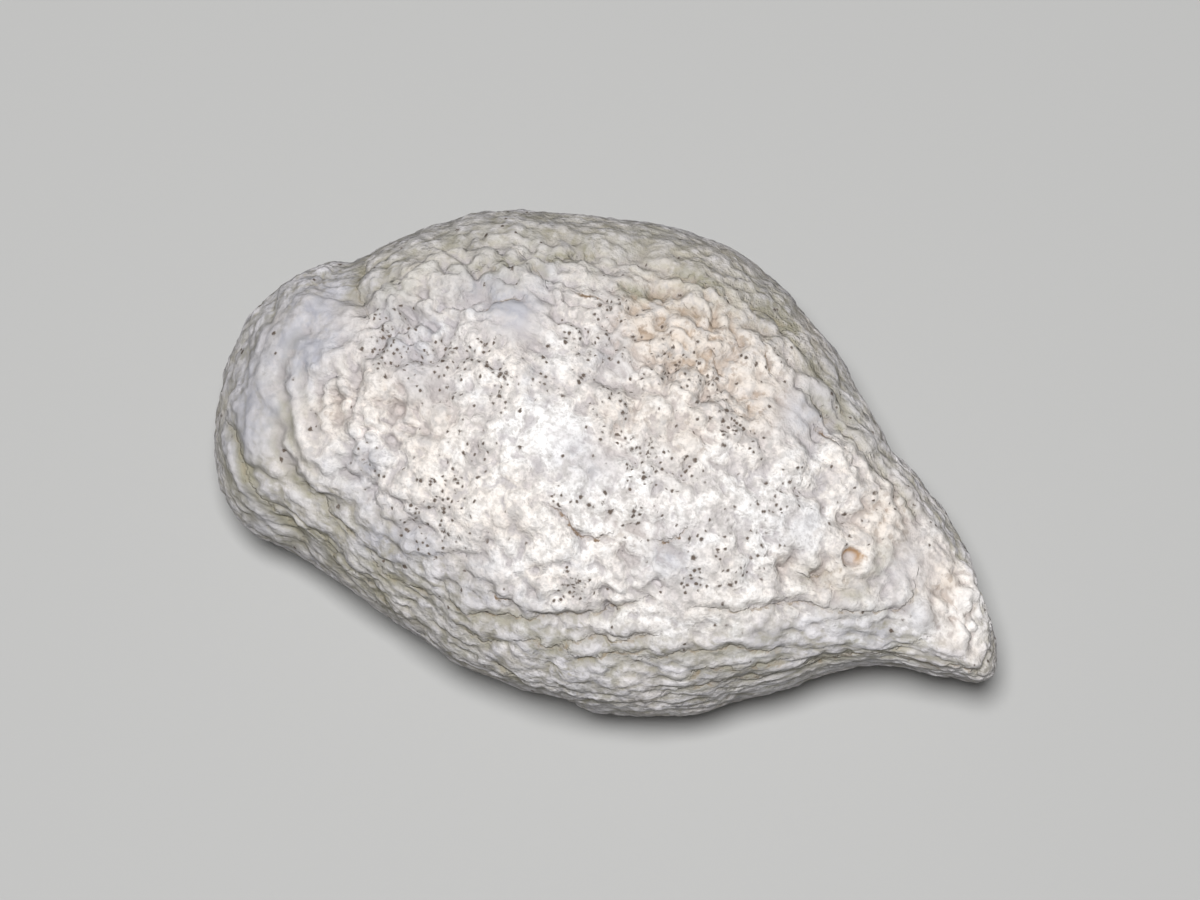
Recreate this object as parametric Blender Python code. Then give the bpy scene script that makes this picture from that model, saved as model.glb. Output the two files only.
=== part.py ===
"""A coprolite: a teardrop-shaped fossil stone in one piece, lying on a small flat spot.

The stone is blunt at one end and drawn out to a short beak at the other. Its crust is
built of thin layers, so folds, ledges and shallow hollows run round it, deepest near
its edges. All sizes are in millimetres and the finished mesh is in metres.

Frame: +X runs from the blunt end to the beak, +Y to the far flank and +Z up. The
origin is on the resting surface, under the middle of the stone's box.
"""

import math
from typing import NamedTuple

import bmesh
import bpy
import numpy as np

NAME = "coprolite"
MILLIMETRE = 0.001

# Driving dimensions.
LENGTH = 63.8
WIDTH = 37.8
LEVEL = 12.7  # height of the outline above the resting surface
ROUNDNESS = 2.3  # exponent of the cross-section's superellipse; 2 is an ellipse

# The two edges of the outline seen from above, (x, y) from the blunt end to the beak's tip.
FAR_EDGE = (
    (-31.9, -3.4), (-31.5, 0.6), (-29.6, 4.6), (-26.9, 7.5), (-25.2, 7.7), (-23.8, 9.0), (-20.2, 12.9),
    (-12.8, 16.4), (-4.0, 18.5), (2.2, 18.7), (9.2, 15.8), (14.9, 11.7), (18.7, 8.4), (22.0, 6.8),
    (26.7, 3.2), (30.0, -1.2), (31.4, -3.4), (31.9, -5.2),
)
NEAR_EDGE = (
    (-31.9, -3.4), (-31.3, -7.0), (-29.9, -10.8), (-26.6, -14.1), (-20.6, -15.2), (-12.6, -17.4),
    (-4.3, -18.8), (3.3, -18.8), (11.5, -16.1), (19.2, -10.4), (23.6, -7.5), (27.8, -6.8),
    (30.8, -6.6), (31.9, -5.2),
)

# The crown and the belly seen from the side, (x, height above the resting surface).
CROWN_LINE = (
    (-31.9, 12.7), (-30.6, 17.9), (-26.5, 22.3), (-20.0, 25.3), (-12.0, 26.5), (-3.0, 26.7), (6.0, 26.0),
    (14.0, 23.7), (20.0, 21.1), (25.0, 19.0), (29.0, 17.5), (31.2, 15.5), (31.9, 12.7),
)
BELLY_LINE = (
    (-31.9, 12.7), (-30.6, 7.9), (-26.5, 3.5), (-20.0, 0.7), (-12.0, -0.2), (-4.0, -0.3), (6.0, 0.2),
    (14.0, 2.1), (20.0, 4.4), (25.0, 6.5), (29.0, 8.1), (31.2, 10.1), (31.9, 12.7),
)
HEART = (-2.6, -0.8)  # the plan point under the middle of the crown

# Folds are drawn on a plane that faces the upper side: turned about Z and leaning to the near flank.
DRAWING_TURN = math.radians(20)
DRAWING_LEAN = math.radians(12)

# Marks on that plane are read on a sheet laid over it, x to the right and y down.
SHEET_SCALE = 12.945  # sheet units to the millimetre
SHEET_MIDDLE = (591, 466)  # the mark under HEART

# Mesh and relief.
SEGMENTS = 70
RINGS = 70
LUMPS = ((14.0, 0.80), (6.5, 0.40), (3.2, 0.20))  # (wavelength, height)
LAYER_SPACING = 3.4
LAYER_HEIGHT = 0.42
LAYER_WANDER = ((16.0, 2.2), (6.0, 0.8))  # (wavelength, height)
QUIET_HEIGHT = 2.5  # relief fades out below this height, so that the resting spot stays even
QUIET_END = 0.3  # relief fades out within this share of a radius of the two poles
SNAP = 0.06  # points this near the resting plane are put on it
SEED = 11


class Fold(NamedTuple):
    """A groove along a path on the drawing plane, with a raised lip on the left of its direction."""

    path: tuple
    depth: float
    width: float
    lip: float


def sheet_path(*marks):
    """Path on the drawing plane through marks on the sheet, to a tenth of a millimetre from its middle."""
    middle_x, middle_y = SHEET_MIDDLE
    return tuple(
        (round((x - middle_x) / SHEET_SCALE, 1), round((middle_y - y) / SHEET_SCALE, 1)) for x, y in marks
    )


class Swell(NamedTuple):
    """A rounded rise, or a hollow where the height is negative, at a place on the drawing plane."""

    place: tuple
    height: float
    radius: float


FOLDS = {
    "outer wrap": Fold(
        sheet_path((222, 410), (237, 462), (251, 497), (279, 528), (309, 565)), 0.8, 1.1, 0.2
    ),
    "second wrap": Fold(
        sheet_path((268, 412), (276, 462), (298, 496), (320, 503), (348, 512)), 0.8, 1.1, 0.3
    ),
    "toe": Fold(sheet_path((297, 536), (321, 545), (331, 567), (354, 577)), 0.6, 1.1, 0.3),
    "low edge": Fold(sheet_path((353, 575), (379, 598), (398, 620)), 0.6, 1.1, 0.3),
    "almond": Fold(sheet_path((364, 558), (386, 581), (440, 602)), 0.5, 1.1, 0.3),
    "main fold": Fold(
        sheet_path((440, 580), (466, 614), (500, 616), (560, 618), (598, 619), (650, 601)), 0.8, 1.1, 0.4
    ),
    "dome foot": Fold(
        sheet_path((675, 607), (745, 611), (807, 606), (860, 611), (904, 605), (921, 570)), 0.9, 1.2, 0.4
    ),
    "second fold": Fold(sheet_path((515, 638), (555, 649), (592, 642), (660, 639)), 0.6, 1.0, 0.3),
    "lower slat": Fold(sheet_path((489, 652), (513, 675), (552, 692)), 0.5, 1.0, 0.3),
    "middle slat": Fold(sheet_path((644, 664), (694, 657), (740, 650), (790, 652)), 0.6, 1.0, 0.3),
    "long low fold": Fold(sheet_path((664, 701), (760, 681), (851, 655), (928, 637)), 0.6, 1.0, 0.3),
    "notch": Fold(sheet_path((362, 258), (353, 287), (364, 314)), 0.9, 1.4, 0.0),
    "lobe crease": Fold(sheet_path((316, 331), (290, 345), (272, 390)), 0.7, 1.3, 0.0),
    "dome border": Fold(
        sheet_path((352, 346), (334, 393), (341, 440), (335, 476), (354, 491)), 0.7, 1.2, 0.3
    ),
    "crown arc": Fold(sheet_path((470, 266), (506, 256), (548, 279), (607, 296)), 0.5, 1.1, 0.2),
    "shoulder line": Fold(sheet_path((668, 267), (710, 280), (761, 303), (801, 338)), 0.7, 1.2, 0.2),
    "flank line": Fold(sheet_path((788, 330), (824, 378), (858, 428), (908, 500)), 0.6, 1.1, 0.2),
    "ring foot": Fold(sheet_path((803, 575), (829, 585), (859, 596), (878, 552)), 0.6, 1.1, 0.2),
    "shoulder hollow": Fold(sheet_path((720, 384), (840, 435)), 0.8, 2.0, 0.0),
}

SWELLS = {
    "lobe": Swell((-22.5, 12.8), 0.5, 2.6),
    "beak swell": Swell((23.2, -12.6), 0.5, 2.2),
    "beak hollow": Swell((27.0, -12.0), -0.6, 1.7),
    "ring pit": Swell((20.0, -7.0), -0.6, 1.0),
    "ring rim": Swell((20.0, -7.0), 0.5, 2.6),
    "near dome": Swell((-4.0, -7.0), 0.5, 4.0),
    "far hollow": Swell((-12.0, 10.0), -0.5, 3.0),
}

# The outside's colour and finish.
STONE_COLOUR = (0.72, 0.66, 0.57, 1.0)
STONE_ROUGHNESS = 0.9


def clear_scene():
    """Remove every object that is in the scene."""
    for item in list(bpy.data.objects):
        bpy.data.objects.remove(item, do_unlink=True)


def smooth_through(knots, values, at):
    """Values at the places asked for, on a cubic curve through knots that need not be evenly spaced."""
    slopes = np.gradient(values, knots)
    index = np.clip(np.searchsorted(knots, at) - 1, 0, len(knots) - 2)
    step = knots[index + 1] - knots[index]
    share = np.clip((at - knots[index]) / step, 0.0, 1.0)
    start = (1 + 2 * share) * (1 - share) ** 2 * values[index]
    end = share**2 * (3 - 2 * share) * values[index + 1]
    leave = share * (1 - share) ** 2 * step * slopes[index]
    arrive = share**2 * (share - 1) * step * slopes[index + 1]
    return start + end + leave + arrive


def on_line(line, turn):
    """Second coordinate of a line's points where it is turn radians from the blunt end to the tip."""
    x, values = np.array(line, float).T
    knots = np.arccos(np.clip(-2.0 * x / LENGTH, -1.0, 1.0))
    return smooth_through(knots, values, turn)


def bare_form(directions):
    """Points of the smooth stone for directions on a unit sphere whose poles are its two ends.

    A direction's turn from the blunt pole gives the station along the stone. Its turn
    round the poles gives the place on the section there, a superellipse that reaches the
    two edges of the outline and the lines of the crown and the belly.
    """
    turn = np.arccos(np.clip(-directions[:, 0], -1.0, 1.0))
    around = np.maximum(np.hypot(directions[:, 1], directions[:, 2]), 1e-9)
    across = directions[:, 1] / around
    upward = directions[:, 2] / around
    far = on_line(FAR_EDGE, turn)
    near = on_line(NEAR_EDGE, turn)
    tall = np.where(upward > 0, on_line(CROWN_LINE, turn) - LEVEL, LEVEL - on_line(BELLY_LINE, turn))
    power = 2.0 / ROUNDNESS
    x = LENGTH / 2 * directions[:, 0]
    y = (far + near) / 2 + (far - near) / 2 * np.sign(across) * np.abs(across) ** power
    z = LEVEL + tall * np.sign(upward) * np.abs(upward) ** power
    return np.stack([x, y, z], axis=1)


def form_normals(directions):
    """Outward unit normals of the smooth stone, from the differences between near points."""
    step = 0.01
    axis = np.where(np.abs(directions[:, 2:3]) < 0.8, [[0.0, 0.0, 1.0]], [[1.0, 0.0, 0.0]])
    first = np.cross(axis, directions)
    first /= np.linalg.norm(first, axis=1, keepdims=True)
    second = np.cross(directions, first)
    spans = []
    for tangent in (first, second):
        ahead = directions + step * tangent
        behind = directions - step * tangent
        ahead /= np.linalg.norm(ahead, axis=1, keepdims=True)
        behind /= np.linalg.norm(behind, axis=1, keepdims=True)
        spans.append(bare_form(ahead) - bare_form(behind))
    normals = np.cross(spans[0], spans[1])
    return normals / np.linalg.norm(normals, axis=1, keepdims=True)


def lattice_noise(points, wavelength, seed):
    """Smooth noise of about -1 to 1: random slopes at the corners of a lattice, blended between them."""
    random = np.random.default_rng(seed)
    shuffle = random.permutation(256)
    slopes = random.normal(size=(256, 3))
    slopes /= np.linalg.norm(slopes, axis=1, keepdims=True)
    scaled = points / wavelength
    corner = np.floor(scaled).astype(int)
    inside = scaled - corner
    fade = inside**3 * (inside * (inside * 6 - 15) + 10)
    total = np.zeros(len(points))
    for dx in (0, 1):
        for dy in (0, 1):
            for dz in (0, 1):
                column = shuffle[(corner[:, 0] + dx) % 256]
                row = shuffle[(column + corner[:, 1] + dy) % 256]
                index = shuffle[(row + corner[:, 2] + dz) % 256]
                toward = np.sum(slopes[index] * (inside - (dx, dy, dz)), axis=1)
                weight = np.prod(np.where((dx, dy, dz), fade, 1 - fade), axis=1)
                total += weight * toward
    return total * 1.5


def layered_noise(points, octaves, seed):
    """Sum of lattice noises, each with its own wavelength and height."""
    total = np.zeros(len(points))
    for number, (wavelength, height) in enumerate(octaves):
        total += height * lattice_noise(points, wavelength, seed + number)
    return total


def drawing_axes():
    """Right, up and outward directions of the plane on which the folds are drawn."""
    right = np.array([math.cos(DRAWING_TURN), math.sin(DRAWING_TURN), 0.0])
    outward = np.array([
        math.sin(DRAWING_TURN) * math.sin(DRAWING_LEAN),
        -math.cos(DRAWING_TURN) * math.sin(DRAWING_LEAN),
        math.cos(DRAWING_LEAN),
    ])
    return right, np.cross(outward, right), outward


def on_drawing(points):
    """Places of the points on the drawing plane, measured from the heart at the outline's height."""
    right, up, _ = drawing_axes()
    from_heart = points - (HEART[0], HEART[1], LEVEL)
    return np.stack([from_heart @ right, from_heart @ up], axis=1)


def path_distance(places, path):
    """Signed distance to a path, positive on its left, and the share of its length at the nearest point."""
    corners = np.array(path, float)
    lengths = np.linalg.norm(np.diff(corners, axis=0), axis=1)
    starts = np.concatenate([[0.0], np.cumsum(lengths)])
    nearest = np.full(len(places), np.inf)
    signed = np.zeros(len(places))
    along = np.zeros(len(places))
    for number, length in enumerate(lengths):
        direction = (corners[number + 1] - corners[number]) / length
        offset = places - corners[number]
        run = np.clip(offset @ direction, 0.0, length)
        gap = offset - run[:, None] * direction
        distance = np.hypot(gap[:, 0], gap[:, 1])
        left = direction[0] * offset[:, 1] - direction[1] * offset[:, 0]
        closer = distance < nearest
        nearest = np.where(closer, distance, nearest)
        signed = np.where(closer, np.copysign(distance, left), signed)
        along = np.where(closer, (starts[number] + run) / starts[-1], along)
    return signed, along


def fold_relief(places, fold):
    """Height of one fold: a groove, a lip on its left and a shallower step on its right."""
    signed, along = path_distance(places, fold.path)
    across = signed / fold.width
    ends = 0.35 + 0.65 * np.clip(4 * along * (1 - along) * 2.5, 0.0, 1.0)
    groove = -fold.depth * np.exp(-across**2)
    lip = fold.lip * np.exp(-((across - 1.9) / 1.2) ** 2)
    step = -0.4 * fold.lip * np.exp(-((across + 1.9) / 1.2) ** 2)
    return ends * (groove + lip + step)


def layer_relief(points, normals):
    """Edges of the level layers: ledges that climb slowly and drop sharply, plain on the steep sides."""
    level = points[:, 2] + layered_noise(points, LAYER_WANDER, SEED + 20)
    phase = np.mod(level / LAYER_SPACING, 1.0)
    ledge = np.where(phase < 0.7, phase / 0.7, (1 - phase) / 0.3) - 0.5
    steepness = 1 - normals[:, 2] ** 2
    patchy = np.clip(0.7 + 0.6 * lattice_noise(points, 11.0, SEED + 30), 0.2, 1.2)
    return LAYER_HEIGHT * ledge * steepness * patchy


def ease(share):
    """Share held between 0 and 1, leaving both ends gently."""
    held = np.clip(share, 0.0, 1.0)
    return held**2 * (3 - 2 * held)


def relief(directions, points, normals):
    """Height of the surface above the smooth stone: lumps, layer edges, folds and swells."""
    _, _, outward = drawing_axes()
    places = on_drawing(points)
    facing = np.clip((normals @ outward - 0.05) / 0.3, 0.0, 1.0)
    drawn = np.zeros(len(points))
    for fold in FOLDS.values():
        drawn += fold_relief(places, fold)
    for swell in SWELLS.values():
        gap = places - swell.place
        drawn += swell.height * np.exp(-np.sum(gap**2, axis=1) / swell.radius**2)
    height = layered_noise(points, LUMPS, SEED) + layer_relief(points, normals) + drawn * facing
    around = np.hypot(directions[:, 1], directions[:, 2])
    return height * ease(points[:, 2] / QUIET_HEIGHT) * ease(around / QUIET_END)


def fit_plan(points):
    """Move and scale the plan so that its box is the stone's length and width about the origin."""
    low = points[:, :2].min(axis=0)
    high = points[:, :2].max(axis=0)
    points[:, :2] = (points[:, :2] - (low + high) / 2) * ((LENGTH, WIDTH) / (high - low))
    return points


def stone_points(directions):
    """Points of the finished surface, in millimetres, for directions on a unit sphere."""
    points = bare_form(directions)
    normals = form_normals(directions)
    points = points + relief(directions, points, normals)[:, None] * normals
    points[:, 2] = np.where(np.abs(points[:, 2]) < SNAP, 0.0, points[:, 2])
    return fit_plan(points)


def stone_mesh():
    """A sphere with its poles at the two ends, shaped into the stone and cut flat where it rests."""
    mesh = bpy.data.meshes.new(NAME)
    shape = bmesh.new()
    bmesh.ops.create_uvsphere(shape, u_segments=SEGMENTS, v_segments=RINGS, radius=1.0)
    directions = np.array([vertex.co for vertex in shape.verts])
    directions = np.stack([directions[:, 2], directions[:, 1], -directions[:, 0]], axis=1)
    for vertex, point in zip(shape.verts, stone_points(directions) * MILLIMETRE):
        vertex.co = point
    everything = shape.verts[:] + shape.edges[:] + shape.faces[:]
    cut = bmesh.ops.bisect_plane(
        shape, geom=everything, dist=1e-8, plane_co=(0, 0, 0), plane_no=(0, 0, 1), clear_inner=True
    )
    rim = [item for item in cut["geom_cut"] if isinstance(item, bmesh.types.BMEdge)]
    bmesh.ops.contextual_create(shape, geom=rim)
    bmesh.ops.recalc_face_normals(shape, faces=shape.faces)
    shape.to_mesh(mesh)
    shape.free()
    return mesh


def stone_material():
    """Chalky, cream-white stone."""
    material = bpy.data.materials.new("chalky stone")
    material.use_nodes = True
    shader = material.node_tree.nodes["Principled BSDF"]
    shader.inputs["Base Color"].default_value = STONE_COLOUR
    shader.inputs["Roughness"].default_value = STONE_ROUGHNESS
    shader.inputs["Metallic"].default_value = 0.0
    return material


def build_coprolite():
    """Add the stone to a collection of its own."""
    collection = bpy.data.collections.new(NAME)
    bpy.context.scene.collection.children.link(collection)
    mesh = stone_mesh()
    mesh.shade_smooth()
    mesh.materials.append(stone_material())
    collection.objects.link(bpy.data.objects.new(NAME, mesh))


clear_scene()
build_coprolite()
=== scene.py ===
"""The coprolite's looks: a finely modelled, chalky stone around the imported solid, on a pale floor.

The stone is one closed surface worked out on a grid of two angles: the turn from the
blunt end to the beak, and the turn round that line. Lengths in this file are in
millimetres, apart from those of the floor, lights and camera, which are in metres.
"""

from __future__ import annotations

import itertools
import logging
import math
from dataclasses import dataclass
from enum import Enum

import bpy
import numpy as np
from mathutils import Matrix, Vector

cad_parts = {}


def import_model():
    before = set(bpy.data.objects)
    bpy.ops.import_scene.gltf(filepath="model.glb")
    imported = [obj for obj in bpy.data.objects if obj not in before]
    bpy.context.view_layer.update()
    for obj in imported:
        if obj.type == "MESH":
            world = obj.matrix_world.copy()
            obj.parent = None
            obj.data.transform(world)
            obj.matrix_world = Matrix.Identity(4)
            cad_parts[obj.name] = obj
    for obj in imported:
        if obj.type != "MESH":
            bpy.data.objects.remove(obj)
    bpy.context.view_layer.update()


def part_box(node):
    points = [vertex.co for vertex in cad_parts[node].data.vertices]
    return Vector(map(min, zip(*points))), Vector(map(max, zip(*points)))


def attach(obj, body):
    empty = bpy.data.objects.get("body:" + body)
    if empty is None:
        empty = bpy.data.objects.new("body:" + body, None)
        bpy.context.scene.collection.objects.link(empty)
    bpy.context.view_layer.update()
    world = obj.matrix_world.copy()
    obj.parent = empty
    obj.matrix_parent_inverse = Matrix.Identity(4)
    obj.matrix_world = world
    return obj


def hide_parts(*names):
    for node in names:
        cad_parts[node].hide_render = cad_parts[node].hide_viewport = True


log = logging.getLogger("coprolite")

NODE = "coprolite"
BODY = "root"
MILLIMETRE = 0.001

DRAWS = 256  # random draws that a lattice repeats over
TINY = 1e-9  # keeps a division from zero
NOISE_SPREAD = (0.3, 0.7)  # most of a shader noise lies between these

Path = tuple[tuple[float, float], ...]
Size = float | tuple[float, float, float]
Colour = tuple[float, float, float, float]
Socket = bpy.types.NodeSocket


# ---------------------------------------------------------------- noise and curves


def ease(share: np.ndarray) -> np.ndarray:
    """Hold share between 0 and 1 and leave both ends gently: 3 s squared minus 2 s cubed."""
    held = np.clip(share, 0.0, 1.0)
    return held**2 * (3 - 2 * held)


def smooth_through(knots: np.ndarray, values: np.ndarray, at: np.ndarray) -> np.ndarray:
    """Read a cubic Hermite curve through knots that need not be evenly spaced.

    Args:
        knots: rising places of the knots.
        values: value at each knot.
        at: places to read.

    Returns:
        The curve's value at each place.
    """
    slopes = np.gradient(values, knots)
    index = np.clip(np.searchsorted(knots, at) - 1, 0, len(knots) - 2)
    step = knots[index + 1] - knots[index]
    share = np.clip((at - knots[index]) / step, 0.0, 1.0)
    start = (1 + 2 * share) * (1 - share) ** 2 * values[index]
    end = share**2 * (3 - 2 * share) * values[index + 1]
    leave = share * (1 - share) ** 2 * step * slopes[index]
    arrive = share**2 * (share - 1) * step * slopes[index + 1]
    return start + end + leave + arrive


def draw_index(shuffle: np.ndarray, corner: np.ndarray, step: tuple[int, ...]) -> np.ndarray:
    """Find the random draw that belongs to the lattice cell a step away from each corner.

    Args:
        shuffle: the numbers of the draws in random order.
        corner: whole lattice places, one row each.
        step: cells to go along each axis.

    Returns:
        The draw's number for each corner.
    """
    column = shuffle[(corner[:, 0] + step[0]) % DRAWS]
    row = shuffle[(column + corner[:, 1] + step[1]) % DRAWS]
    return shuffle[(row + corner[:, 2] + step[2]) % DRAWS]


@dataclass(frozen=True)
class LatticeNoise:
    """Smooth noise of about -1 to 1: random slopes at the corners of a lattice, blended between them."""

    seed: int
    wavelength: Size
    gain: float = 1.5

    def at(self, points: np.ndarray) -> np.ndarray:
        """Read the noise.

        Each corner of the lattice cell gives its slope times the offset from it, and the
        eight are blended with the fade 6 t^5 - 15 t^4 + 10 t^3.

        Args:
            points: places, one row each.

        Returns:
            One value for each place.
        """
        random = np.random.default_rng(self.seed)
        shuffle = random.permutation(DRAWS)
        slopes = random.normal(size=(DRAWS, 3))
        slopes /= np.linalg.norm(slopes, axis=1, keepdims=True)
        scaled = points / self.wavelength
        corner = np.floor(scaled).astype(int)
        inside = scaled - corner
        fade = inside**3 * (inside * (inside * 6 - 15) + 10)
        total = np.zeros(len(points))
        for step in itertools.product((0, 1), repeat=3):
            toward = np.sum(slopes[draw_index(shuffle, corner, step)] * (inside - step), axis=1)
            total += np.prod(np.where(step, fade, 1 - fade), axis=1) * toward
        return total * self.gain


@dataclass(frozen=True)
class Cobbles:
    """Domed cells scattered through space, each tilted its own way and as proud as chance makes it."""

    seed: int
    size: Size
    tilt: tuple[float, float, float] = (0.6, 0.6, 0.6)
    droop: float = 0.0
    sharpness: float = 14.0
    middles: tuple[float, float] = (0.08, 0.92)
    pride: float = 0.35
    dome: float = 1.2
    shoulder: float = 2.4
    lift: float = 0.35

    def at(self, points: np.ndarray) -> tuple[np.ndarray, np.ndarray]:
        """Height of the cobbles, of about -1 to 1, and how far each place is from a seam.

        A cell's own height is its pride, less the dome d^2 and the shoulder d^4 for the distance
        d from its middle, plus its tilt times the offset from its middle. Droop tilts every cell so
        that its lower edge stands proud. Neighbours blend by weights that fall off exponentially
        with distance, so the creases between cells are narrow.

        Args:
            points: places, one row each.

        Returns:
            The height at each place, and how much further the second nearest middle is than
            the nearest, in cells: 0 on a seam.
        """
        random = np.random.default_rng(self.seed)
        shuffle = random.permutation(DRAWS)
        middles = random.uniform(*self.middles, size=(DRAWS, 3))
        prides = random.uniform(-self.pride, self.pride, size=DRAWS)
        tilts = random.normal(size=(DRAWS, 3)) * self.tilt - (0.0, 0.0, self.droop)
        scaled = points / self.size
        corner = np.floor(scaled).astype(int)
        inside = scaled - corner
        weights, heights = np.zeros((2, len(points)))
        nearest, second = np.full((2, len(points)), np.inf)
        for step in itertools.product((-1, 0, 1), repeat=3):
            index = draw_index(shuffle, corner, step)
            offset = inside - (middles[index] + step)
            square = np.sum(offset**2, axis=1)
            distance = np.sqrt(square)
            weight = np.exp(-self.sharpness * distance)
            second = np.minimum(second, np.maximum(nearest, distance))
            nearest = np.minimum(nearest, distance)
            own = prides[index] - square * (self.dome + self.shoulder * square)
            weights += weight
            heights += weight * (own + np.sum(tilts[index] * offset, axis=1))
        return heights / weights + self.lift, second - nearest


@dataclass(frozen=True)
class NoiseSum:
    """A sum of smooth noises, each (wavelength, height), whose seeds count up from the first."""

    seed: int
    parts: tuple[tuple[Size, float], ...]

    def at(self, points: np.ndarray) -> np.ndarray:
        """Read the sum at the points."""
        noises = [LatticeNoise(self.seed + number, wave) for number, (wave, _) in enumerate(self.parts)]
        return sum(height * noise.at(points) for noise, (_, height) in zip(noises, self.parts))


@dataclass(frozen=True)
class Warp:
    """A push of points by smooth noise along each axis, so that what is read there looks wrung."""

    seed: int
    wavelength: float
    reach: float

    def at(self, points: np.ndarray) -> np.ndarray:
        """Push the points about."""
        pushes = [LatticeNoise(self.seed + axis, self.wavelength).at(points) for axis in range(3)]
        return points + self.reach * np.stack(pushes, axis=1)


@dataclass(frozen=True)
class Patches:
    """A share that drifts from place to place: a noise about a middle, held between two limits."""

    noise: LatticeNoise
    middle: float
    swing: float
    least: float
    most: float

    def at(self, points: np.ndarray) -> np.ndarray:
        """Read the share at the points."""
        return np.clip(self.middle + self.swing * self.noise.at(points), self.least, self.most)


# ---------------------------------------------------------------- the bare form


@dataclass(frozen=True)
class StoneForm:
    """The smooth stone: four lines along it, and a superellipse for the section between them."""

    length: float
    level: float = 12.7
    roundness: float = 2.3
    beak_roundness: float = 3.0
    beak_start: float = 0.35
    beak_fade: float = 0.4
    wrap_height: float = 14.0
    wrap_least: float = 6.5
    wrap_start: float = -3.0
    far_edge: Path = (
        (-31.9, -3.4), (-31.5, 0.6), (-29.6, 4.6), (-26.9, 7.5), (-25.2, 7.7), (-23.8, 9.0), (-20.2, 12.9),
        (-12.8, 16.4), (-4.0, 18.5), (2.2, 18.7), (9.2, 15.8), (14.9, 11.7), (18.7, 8.4), (22.0, 6.8),
        (26.7, 3.2), (30.0, -1.2), (31.4, -3.4), (31.9, -5.2),
    )
    near_edge: Path = (
        (-31.9, -3.4), (-31.3, -7.0), (-29.9, -10.8), (-26.6, -14.1), (-20.6, -15.2), (-12.6, -17.4),
        (-4.3, -18.8), (3.3, -18.8), (11.5, -16.1), (19.2, -10.4), (23.6, -7.5), (27.8, -6.8),
        (30.8, -6.6), (31.9, -5.2),
    )
    crown_line: Path = (
        (-31.9, 12.7), (-30.6, 17.9), (-26.5, 22.3), (-20.0, 25.3), (-12.0, 26.5), (-3.0, 26.7), (6.0, 26.0),
        (14.0, 23.7), (20.0, 21.1), (25.0, 19.0), (29.0, 17.5), (31.2, 15.5), (31.9, 12.7),
    )
    belly_line: Path = (
        (-31.9, 12.7), (-30.6, 7.9), (-26.5, 3.5), (-20.0, 0.7), (-12.0, -0.2), (-4.0, -0.3), (6.0, 0.2),
        (14.0, 2.1), (20.0, 4.4), (25.0, 6.5), (29.0, 8.1), (31.2, 10.1), (31.9, 12.7),
    )

    def on_line(self, line: Path, turn: np.ndarray) -> np.ndarray:
        """Read a line's second coordinate at each turn from the blunt end.

        Args:
            line: points (x, value) from the blunt end to the tip.
            turn: angle from the blunt end, 0 to pi; x is minus half the length times its cosine.

        Returns:
            The value at each turn.
        """
        x, values = np.array(line, float).T
        knots = np.arccos(np.clip(-2.0 * x / self.length, -1.0, 1.0))
        return smooth_through(knots, values, turn)

    def points(self, directions: np.ndarray) -> np.ndarray:
        """Place the surface for directions on a unit sphere whose poles are the two ends.

        The section at each station is a superellipse that reaches the two edges of the
        outline and the lines of the crown and the belly. Its power rises towards the beak,
        whose sides are flatter.

        Args:
            directions: unit vectors, one row each.

        Returns:
            Points in millimetres, one row each.
        """
        turn = np.arccos(np.clip(-directions[:, 0], -1.0, 1.0))
        around = np.maximum(np.hypot(directions[:, 1], directions[:, 2]), TINY)
        across = directions[:, 1] / around
        upward = directions[:, 2] / around
        far = self.on_line(self.far_edge, turn)
        near = self.on_line(self.near_edge, turn)
        crown = self.on_line(self.crown_line, turn)
        belly = self.on_line(self.belly_line, turn)
        tall = np.where(upward > 0, crown - self.level, self.level - belly)
        beak = ease((directions[:, 0] - self.beak_start) / self.beak_fade)
        power = 2.0 / (self.roundness + (self.beak_roundness - self.roundness) * beak)
        x = self.length / 2 * directions[:, 0]
        y = (far + near) / 2 + (far - near) / 2 * np.sign(across) * np.abs(across) ** power
        z = self.level + tall * np.sign(upward) * np.abs(upward) ** power
        return np.stack([x, y, z], axis=1)

    def normals(self, directions: np.ndarray) -> np.ndarray:
        """Work out the outward unit normals: the cross product of two short spans through each point.

        Args:
            directions: unit vectors, one row each.

        Returns:
            Unit vectors, one row each.
        """
        step, upright = 0.01, 0.8
        axis = np.where(np.abs(directions[:, 2:3]) < upright, [[0.0, 0.0, 1.0]], [[1.0, 0.0, 0.0]])
        first = np.cross(axis, directions)
        first /= np.linalg.norm(first, axis=1, keepdims=True)
        second = np.cross(directions, first)
        spans = []
        for tangent in (first, second):
            ahead = directions + step * tangent
            behind = directions - step * tangent
            ahead /= np.linalg.norm(ahead, axis=1, keepdims=True)
            behind /= np.linalg.norm(behind, axis=1, keepdims=True)
            spans.append(self.points(ahead) - self.points(behind))
        normals = np.cross(spans[0], spans[1])
        return normals / np.linalg.norm(normals, axis=1, keepdims=True)

    def wrap_level(self, points: np.ndarray) -> np.ndarray:
        """Work out the height above the outline, stretched along the beak so that layers reach its tip.

        Args:
            points: points in millimetres, one row each.

        Returns:
            The height of each point among the layers.
        """
        crown_x, crown_z = np.array(self.crown_line, float).T
        tall = np.interp(points[:, 0], crown_x, crown_z) - self.level
        tall = np.where(points[:, 0] > self.wrap_start, np.maximum(tall, self.wrap_least), self.wrap_height)
        return (points[:, 2] - self.level) * self.wrap_height / tall


# ---------------------------------------------------------------- what is drawn on the upper side


class Ink(Enum):
    """How dark the line in a fold is, from 0 for none to 1."""

    NONE = 0.0
    FAINT = 0.3
    PLAIN = 0.6
    DARK = 1.0


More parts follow.
